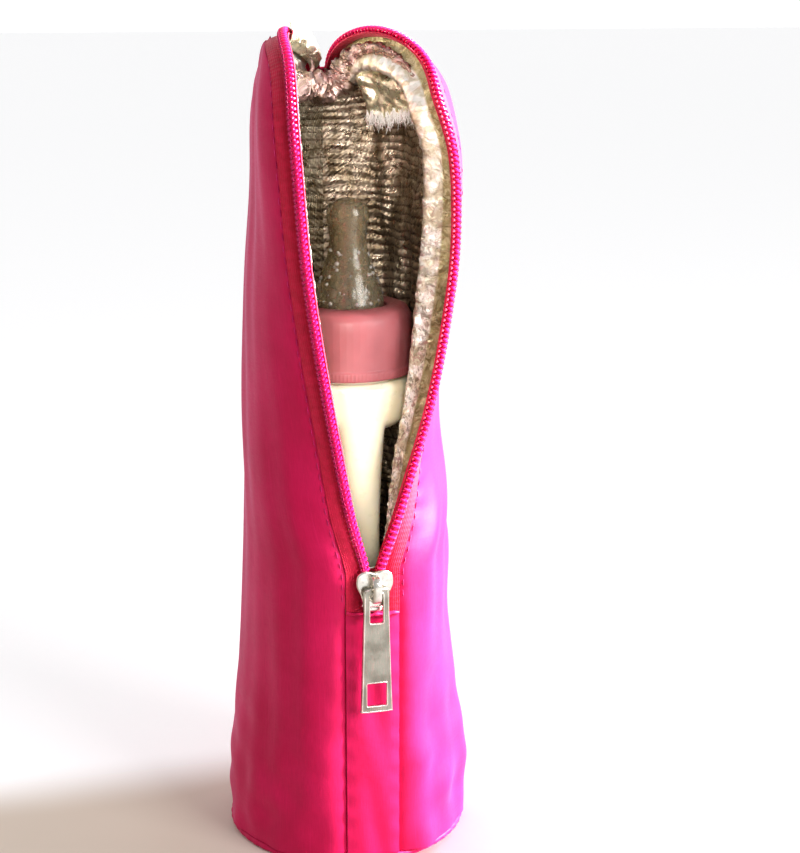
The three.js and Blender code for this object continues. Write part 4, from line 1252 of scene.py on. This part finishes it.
def pull_tab():
    low, high = node_box("pull_tab")
    half, bottom, top = high[0], low[2], high[2]
    front, back = -low[1], -high[1]
    right = [(half * 0.93, bottom + 0.1), (half, bottom + 0.9), (half * 0.94, bottom + 9), (3.75, top - 3),
             (3.6, top - 0.9), (2.9, top)]
    left = [(-x, z) for x, z in right]
    outline = [left[0], (0, bottom)] + right + left[:0:-1]
    pivot = JOINTS["pull_swing"]["pos_m"][2] / MM
    outlines = [smooth_outline(outline, 4), rounded_window(2.1, pivot - 10.2, pivot - 0.8),
                rounded_window(3.1, bottom + 2.0, bottom + 9.4, 0.5)]
    plate = plate_mesh(outlines, front, back, 0.3)
    body_piece("pull", "pull_tab", "pull_plate", plate, BRUSHED, "zip_metal", sharp=50)
    parts = []
    for loop, inset in zip(outlines, (-0.28, 0.1, 0.1)):
        flat = np.array(loop + loop[:1])
        middle = (flat.max(0) + flat.min(0)) / 2
        flat = flat + np.sign(flat - middle) * inset * (np.abs(flat - middle) > 0.5)
        path = np.stack([flat[:, 0], np.full(len(flat), -front + 0.18), flat[:, 1]], -1)
        parts.append(tube(path, 0.27, 8, np.tile([0.0, -1.0, 0.0], (len(flat), 1))))
    body_piece("pull", None, "pull_rims", joined(parts), METAL, "zip_metal")


lining_hem(LEFT, HEM_LEFT, 120)
lining_hem(RIGHT, HEM_RIGHT, 220)
folded_corner()
torn_sliver()
loose_flare()
zip_slider()
slider_bridge()
pull_tab()


# ---- Base
def base_piece(name, node, mesh_parts, look, slot):
    """A level part of the base, with a flat map seen from above."""
    return body_piece("bag", node, name, mesh_parts, look, slot, uv=mesh_parts[0][:, :2])


def base_slab(name, node, slot):
    """A plain round layer that fills its node's box."""
    low, high = node_box(node)
    outline = [(0, low[2]), (high[0], low[2]), (high[0], high[2]), (0, high[2])]
    return body_piece("bag", node, name, lathe(rounded(outline), 96), FOAM, slot)


def base_pieces():
    radius, _, thick = node_box("base_panel")[1]
    outline = [(0, 0.0), (radius * 0.6, 0.0), (radius * 0.97, 0.0), (radius, 0.35), (radius, thick),
               (0, thick)]
    base_piece("base_satin", "base_panel", lathe(rounded(outline), 128), SATIN, "satin")

    low, high = node_box("base_piping")
    cord = (high[2] - low[2]) / 2
    centre = high[0] - cord
    ring = [(centre + cord * math.cos(a), cord * (1 + math.sin(a))) for a in circle(16)]

    def puckers(angle, r, z):
        return 0.09 * np.sin(angle * 58) * (r > centre)

    piping = lathe(ring, 320, closed=True, ripple=puckers)
    base_piece("base_cord_piping", "base_piping", piping, SATIN, "satin")
    base_slab("stiffener_board", "base_board", "board")
    base_slab("base_insulation", "base_foam", "foam")

    low, high = node_box("base_liner")
    dome = [(r, high[2] - 0.25 + 0.2 * math.sin(r * 1.6)) for r in np.linspace(0, high[0], 24)[::-1]]
    foil_disc = lathe([(0, low[2]), (high[0], low[2])] + dome, 96)
    base_piece("base_foil", "base_liner", foil_disc, FOIL_PLAIN, "foil")


base_pieces()


# ---- Bottle. A grip leg's sizes are half its width and depth; a thread is its lowest height and its turns.
bottle_low, bottle_high = node_box("bottle_body")
collar_low, collar_high = node_box("collar")
CENTRE = tuple((collar_low[:2] + collar_high[:2]) / 2)
BODY_RADIUS = (bottle_high[0] - bottle_low[0]) / 2
BOTTLE_BASE = bottle_low[2]
NECK_TOP = bottle_high[2]
NECK_RADIUS = 16.6
NECK_WALL = 1.8
TANK_TOP = 62.0
SHOULDER = (131.0, 147.0)
LEG_REACH = 14.5
LEG_END = (8.6, 5.4)
LEG_WAIST = (5.9, 4.9)
SKIN_VOXEL = 0.62
THREAD_PITCH = 4.0
NECK_THREAD = (152.5, 2.0)
COLLAR_THREAD = (154.5, 1.4)
COLLAR_BORE = 18.3
COLLAR_HOLE = 11.6
COLLAR_KNURLS = 110
COLLAR_RIBS = 30
TEAT_WALL = 1.3
TEAT_BUMPS = 11
DROPLETS = 70


def leg_mesh(direction):
    """One leg of the loop grip, an oval that bows inward between the tank and the shoulder."""
    low, high = TANK_TOP - 14, SHOULDER[1] - 1
    t = np.linspace(0, 1, 40)[:, None]
    waist = np.sin(t * math.pi)
    half_wide, half_deep = (end + (thin - end) * waist for end, thin in zip(LEG_END, LEG_WAIST))
    reach = direction * (LEG_REACH + (-1.6 + 3.0 * t) * (1 - waist))
    angles = circle(36)
    across = CENTRE[0] + half_wide * np.cos(angles)
    away = CENTRE[1] + reach + half_deep * np.sin(angles)
    return tube_mesh(np.stack([across, away, low + (high - low) * t + 0 * angles], -1))


def bottle_shell():
    """The tank, the shoulder and the two legs, melted into one skin."""
    radius = BODY_RADIUS
    tank = [(0, BOTTLE_BASE + 1.2), (radius * 0.55, BOTTLE_BASE + 0.9), (radius - 5, BOTTLE_BASE),
            (radius - 2.2, BOTTLE_BASE), (radius, BOTTLE_BASE + 3.6), (radius, TANK_TOP - 9),
            (radius - 1.6, TANK_TOP - 3.6), (radius - 7, TANK_TOP), (0, TANK_TOP + 0.6)]
    low, high = SHOULDER
    shoulder = [(0, low), (radius - 6, low), (radius - 1.2, low + 3.4), (radius - 0.3, low + 8),
                (radius - 0.3, high - 1.4), (radius - 1.5, high), (0, high)]
    turned = [lathe(rounded(outline), 96, CENTRE) for outline in (tank, shoulder)]
    piece = new_piece("bottle_shell", joined(turned + [leg_mesh(-1), leg_mesh(1)]), BOTTLE, "bottle")
    remesh = piece.modifiers.new("merge", "REMESH")
    remesh.mode = "VOXEL"
    remesh.voxel_size = SKIN_VOXEL * MM
    soften = piece.modifiers.new("soften", "SMOOTH")
    soften.factor = 0.5
    soften.iterations = 9
    mesh = bpy.data.meshes.new_from_object(piece.evaluated_get(bpy.context.evaluated_depsgraph_get()))
    piece.modifiers.clear()
    piece.data = mesh
    mesh.shade_smooth()
    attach(piece, "bottle")
    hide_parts("bottle_body")


def bottle_neck():
    outer, inner, low = NECK_RADIUS, NECK_RADIUS - NECK_WALL, SHOULDER[1] - 3
    ring = [(inner, low), (outer, low), (outer, NECK_TOP - 0.6), (outer - 0.5, NECK_TOP),
            (inner + 0.5, NECK_TOP), (inner, NECK_TOP - 0.6)]
    neck = lathe(rounded(ring) + [ring[-1]], 128, CENTRE, closed=True)
    thread = helix_ridge(outer - 0.3, outer + 1.1, *NECK_THREAD)
    body_piece("bottle", None, "bottle_neck", joined([neck, thread]), BOTTLE, "bottle")


def milk_surface():
    level = SHOULDER[1] + 1.2
    rim = NECK_RADIUS - NECK_WALL
    surface = [(0, level - 1), (rim + 0.1, level - 1), (rim + 0.1, level + 0.35), (rim - 0.8, level),
               (0, level)]
    body_piece("bottle", None, "milk_surface", lathe(rounded(surface), 96, CENTRE), BOTTLE, "bottle")


def helix_ridge(root, tip, low, turns):
    """A screw thread's ridge with tapered ends, from its root radius out or in to its tip radius."""
    steps = int(turns * 72)
    angle = np.linspace(0, turns * 2 * math.pi, steps)
    height = low + angle / (2 * math.pi) * THREAD_PITCH
    ends = np.clip(np.minimum(np.arange(steps), steps - 1 - np.arange(steps)) / 14, 0.2, 1)
    rings = []
    for share, rise in ((0, -0.8), (1, -0.35), (1, 0.35), (0, 0.8)):
        radius = root + (tip - root) * ends * share
        rings.append(np.stack([CENTRE[0] + radius * np.cos(angle), CENTRE[1] + radius * np.sin(angle),
                               height + rise], -1))
    vertices, faces = tube_mesh(np.stack(rings, 1))
    return vertices, [face[::-1] for face in faces] if tip < root else faces


def screw_collar():
    radius = (collar_high[0] - collar_low[0]) / 2
    low, high = collar_low[2], collar_high[2]
    bore, hole = COLLAR_BORE, COLLAR_HOLE
    profile = [(bore, low), (radius - 0.5, low), (radius, low + 0.5), (radius, low + 2.7),
               (radius - 0.55, low + 3.3), (radius - 0.6, high - 5.5), (radius - 0.9, high - 3.0),
               (radius - 2.0, high - 0.9), (radius - 4.4, high), (hole + 0.8, high), (hole, high - 0.5),
               (hole, high - 2), (bore, high - 2), (bore, low)]

    def ripple(angle, r, z):
        rim = (z > low + 0.4) & (z < low + 2.9) & (r > radius - 0.3)
        wall = (z >= low + 3.2) & (z < high - 3.0) & (r > radius - 1.2)
        return (0.08 * np.maximum(np.sin(angle * COLLAR_KNURLS), 0) * rim
                + 0.02 * (np.abs(np.sin(angle * COLLAR_RIBS)) ** 6) * wall)

    body = lathe(rounded(profile, 5, 0.4), 660, CENTRE, closed=True, ripple=ripple)
    thread = helix_ridge(bore + 0.3, bore - 0.9, *COLLAR_THREAD)
    body_piece("collar", "collar", "screw_collar", joined([body, thread]), COLLAR, "collar", sharp=50)


def teat_outside(base, top):
    """Radii and heights of the teat's outside, from its base on the collar to its tip."""
    rises = [(11.0, 0), (10.9, 1.2), (10.4, 3.4), (9.6, 6.2), (8.5, 9.4), (7.3, 12.2), (6.3, 15), (5.75, 18),
             (5.6, 20.5), (5.9, 23), (6.4, 25.4), (6.6, 27.2), (6.3, 29.3), (5.5, 31.0)]
    tip = [(4.3, top - 1.35), (2.5, top - 0.35), (0.7, top)]
    return [(radius, base + rise) for radius, rise in rises] + tip


def teat():
    low, high = node_box("teat")
    flange_top = collar_high[2] - 2.3
    flange = (high[0] - low[0]) / 2
    outside = teat_outside(collar_high[2] - 0.6, high[2])
    inside = [(radius - TEAT_WALL if radius > 2 else 0.7, height - (0.0 if radius > 5 else 1.2))
              for radius, height in outside]
    profile = ([(14.2, low[2]), (flange, low[2]), (flange, flange_top), (11.2, flange_top)] + outside
               + inside[::-1] + [(9.4, low[2]), (14.2, low[2])])

    def bumps(angle, radius, height):
        ring = np.exp(-((height - (collar_high[2] + 4.2)) / 1.25) ** 2)
        return 0.5 * ring * np.clip(np.cos(angle * TEAT_BUMPS), 0, 1) ** 3 * (radius > 9.0)

    body = lathe(rounded(profile, 4, 0.35), 220, CENTRE, closed=True, ripple=bumps)
    body_piece("teat", "teat", "silicone_teat", body, TEAT, "teat")
    droplets(outside)


def droplets(outside):
    """Condensed drops that cling to the teat; their near white colour is painted highlight."""
    draw = np.random.default_rng(7)
    radii, heights = np.array(outside).T
    parts = []
    for _ in range(DROPLETS):
        height = draw.uniform(heights[0] + 1.5, heights[7])
        angle = draw.uniform(0, 2 * math.pi)
        size = draw.uniform(0.25, 0.8)
        radius = np.interp(height, heights, radii) + 0.05 - size * 0.35
        profile = [(size * math.sin(a), height - size * math.cos(a))
                   for a in np.linspace(0.05, math.pi - 0.05, 7)]
        centre = (CENTRE[0] + radius * math.cos(angle), CENTRE[1] + radius * math.sin(angle))
        parts.append(lathe(profile, 10, centre))
    body_piece("teat", None, "teat_drops", joined(parts), DROPLET, "teat")


bottle_shell()
bottle_neck()
milk_surface()
screw_collar()
teat()


# ---- Camera, light and floor
CAMERA_PLACE = (-116.5, -504.7, 264.0)
CAMERA_LENS = 72.7
CAMERA_DOWN = 14.5
CAMERA_TURN = 14.93
ROOM_FRONT = 0.40
ROOM_BACK = 0.93
FLOOR_HALF = 9000
# Each lamp is its place and the height it aims at, in metres, then its width, its power and its colour.
KEY = ((0.98, -0.17, 0.60), 0.14, 0.5, 100, (1, 0.985, 0.97))
FILL = ((0.55, -0.85, 0.5), 0.14, 0.5, 6.5, (1, 1, 1))
BOTTLE_LIGHT = ((-0.23, -0.85, 0.36), 0.13, 0.4, 6, (1, 0.98, 0.9))
BRIGHTENED = ("bottle_shell", "bottle_neck", "milk_surface", "screw_collar", "left_foil_lining",
              "right_foil_lining", "left_lining_hem", "right_lining_hem", "right_foil_facing",
              "folded_lining_corner", "frayed_threads")


def camera():
    data = bpy.data.cameras.new("camera")
    data.lens = CAMERA_LENS
    data.clip_start = 0.01
    eye = bpy.data.objects.new("camera", data)
    bpy.context.scene.collection.objects.link(eye)
    eye.location = Vector(CAMERA_PLACE) * MM
    eye.rotation_euler = (math.radians(90 - CAMERA_DOWN), 0, math.radians(-CAMERA_TURN))
    bpy.context.scene.camera = eye


def area_light(name, place, aim, width, power, colour):
    data = bpy.data.lights.new(name, "AREA")
    data.shape = "RECTANGLE"
    data.size = data.size_y = width
    data.energy = power
    data.color = colour
    lamp = bpy.data.objects.new(name, data)
    bpy.context.scene.collection.objects.link(lamp)
    lamp.location = place
    lamp.rotation_euler = (Vector((0, 0, aim)) - Vector(place)).to_track_quat("-Z", "Y").to_euler()
    return lamp


def light_only(lamp, pieces):
    """Links a lamp to the pieces that it may light."""
    lit = bpy.data.collections.new(f"lit_by_{lamp.name}")
    lamp.light_linking.receiver_collection = lit
    for piece in pieces:
        lit.objects.link(piece)


def floor_with_painted_shadow():
    """A floor that is warm and dull to the left in front, a painted shadow, and fades to white elsewhere,
    where it glows a little: painted light.
    """
    look = Look("floor_with_painted_shadow", Roughness=0.8, Specular_IOR_Level=0.1)
    where = look.solid()
    across = look.span(look.part(where, "X"), -60, 70)
    away = look.span(look.part(where, "Y"), 20, 60)
    # The warm dull colour is painted shadow.
    grain = look.mix(look.noise(where, 60, 3), (0.66, 0.58, 0.49), (0.70, 0.62, 0.53))
    white = look.math("MAXIMUM", across, away)
    look.colour(look.mix(white, grain, (0.98, 0.98, 0.98)))
    # Painted light: the white part of the floor glows.
    look.feed(look.shader.inputs["Emission Color"], (1, 1, 1))
    look.feed(look.shader.inputs["Emission Strength"], look.times(white, 0.17))
    half = FLOOR_HALF
    corners = [(-half, -half, 0), (half, -half, 0), (half, half, 0), (-half, half, 0)]
    floor = new_piece("floor", (corners, [(0, 1, 2, 3)]), look.material, None)


def bright_room():
    """A white room that is brighter behind the bag than in front of it."""
    world = bpy.data.worlds.new("bright_room")
    room = Nodes(world)
    way = room.node("ShaderNodeTexCoord").outputs["Generated"]
    behind = room.node("ShaderNodeMapRange", {
        "Value": room.part(way, "Y"), "From Min": -0.3, "From Max": 0.5,
        "To Min": ROOM_FRONT, "To Max": ROOM_BACK})
    background = room.tree.nodes["Background"]
    room.feed(background.inputs["Strength"], behind.outputs["Result"])
    room.feed(background.inputs["Color"], (0.99, 0.99, 1.0))
    bpy.context.scene.world = world


camera()
floor_with_painted_shadow()
bright_room()
meshes = [piece for piece in bpy.context.scene.objects if piece.type == "MESH"]
light_only(area_light("key", *KEY), [piece for piece in meshes if piece.name != "floor"])
area_light("fill", *FILL)
bottle_light = area_light("bottle_light", *BOTTLE_LIGHT)
light_only(bottle_light, [piece for piece in meshes if piece.name in BRIGHTENED])
bpy.context.scene.view_settings.view_transform = "Standard"
bpy.context.scene.view_settings.look = "Medium High Contrast"
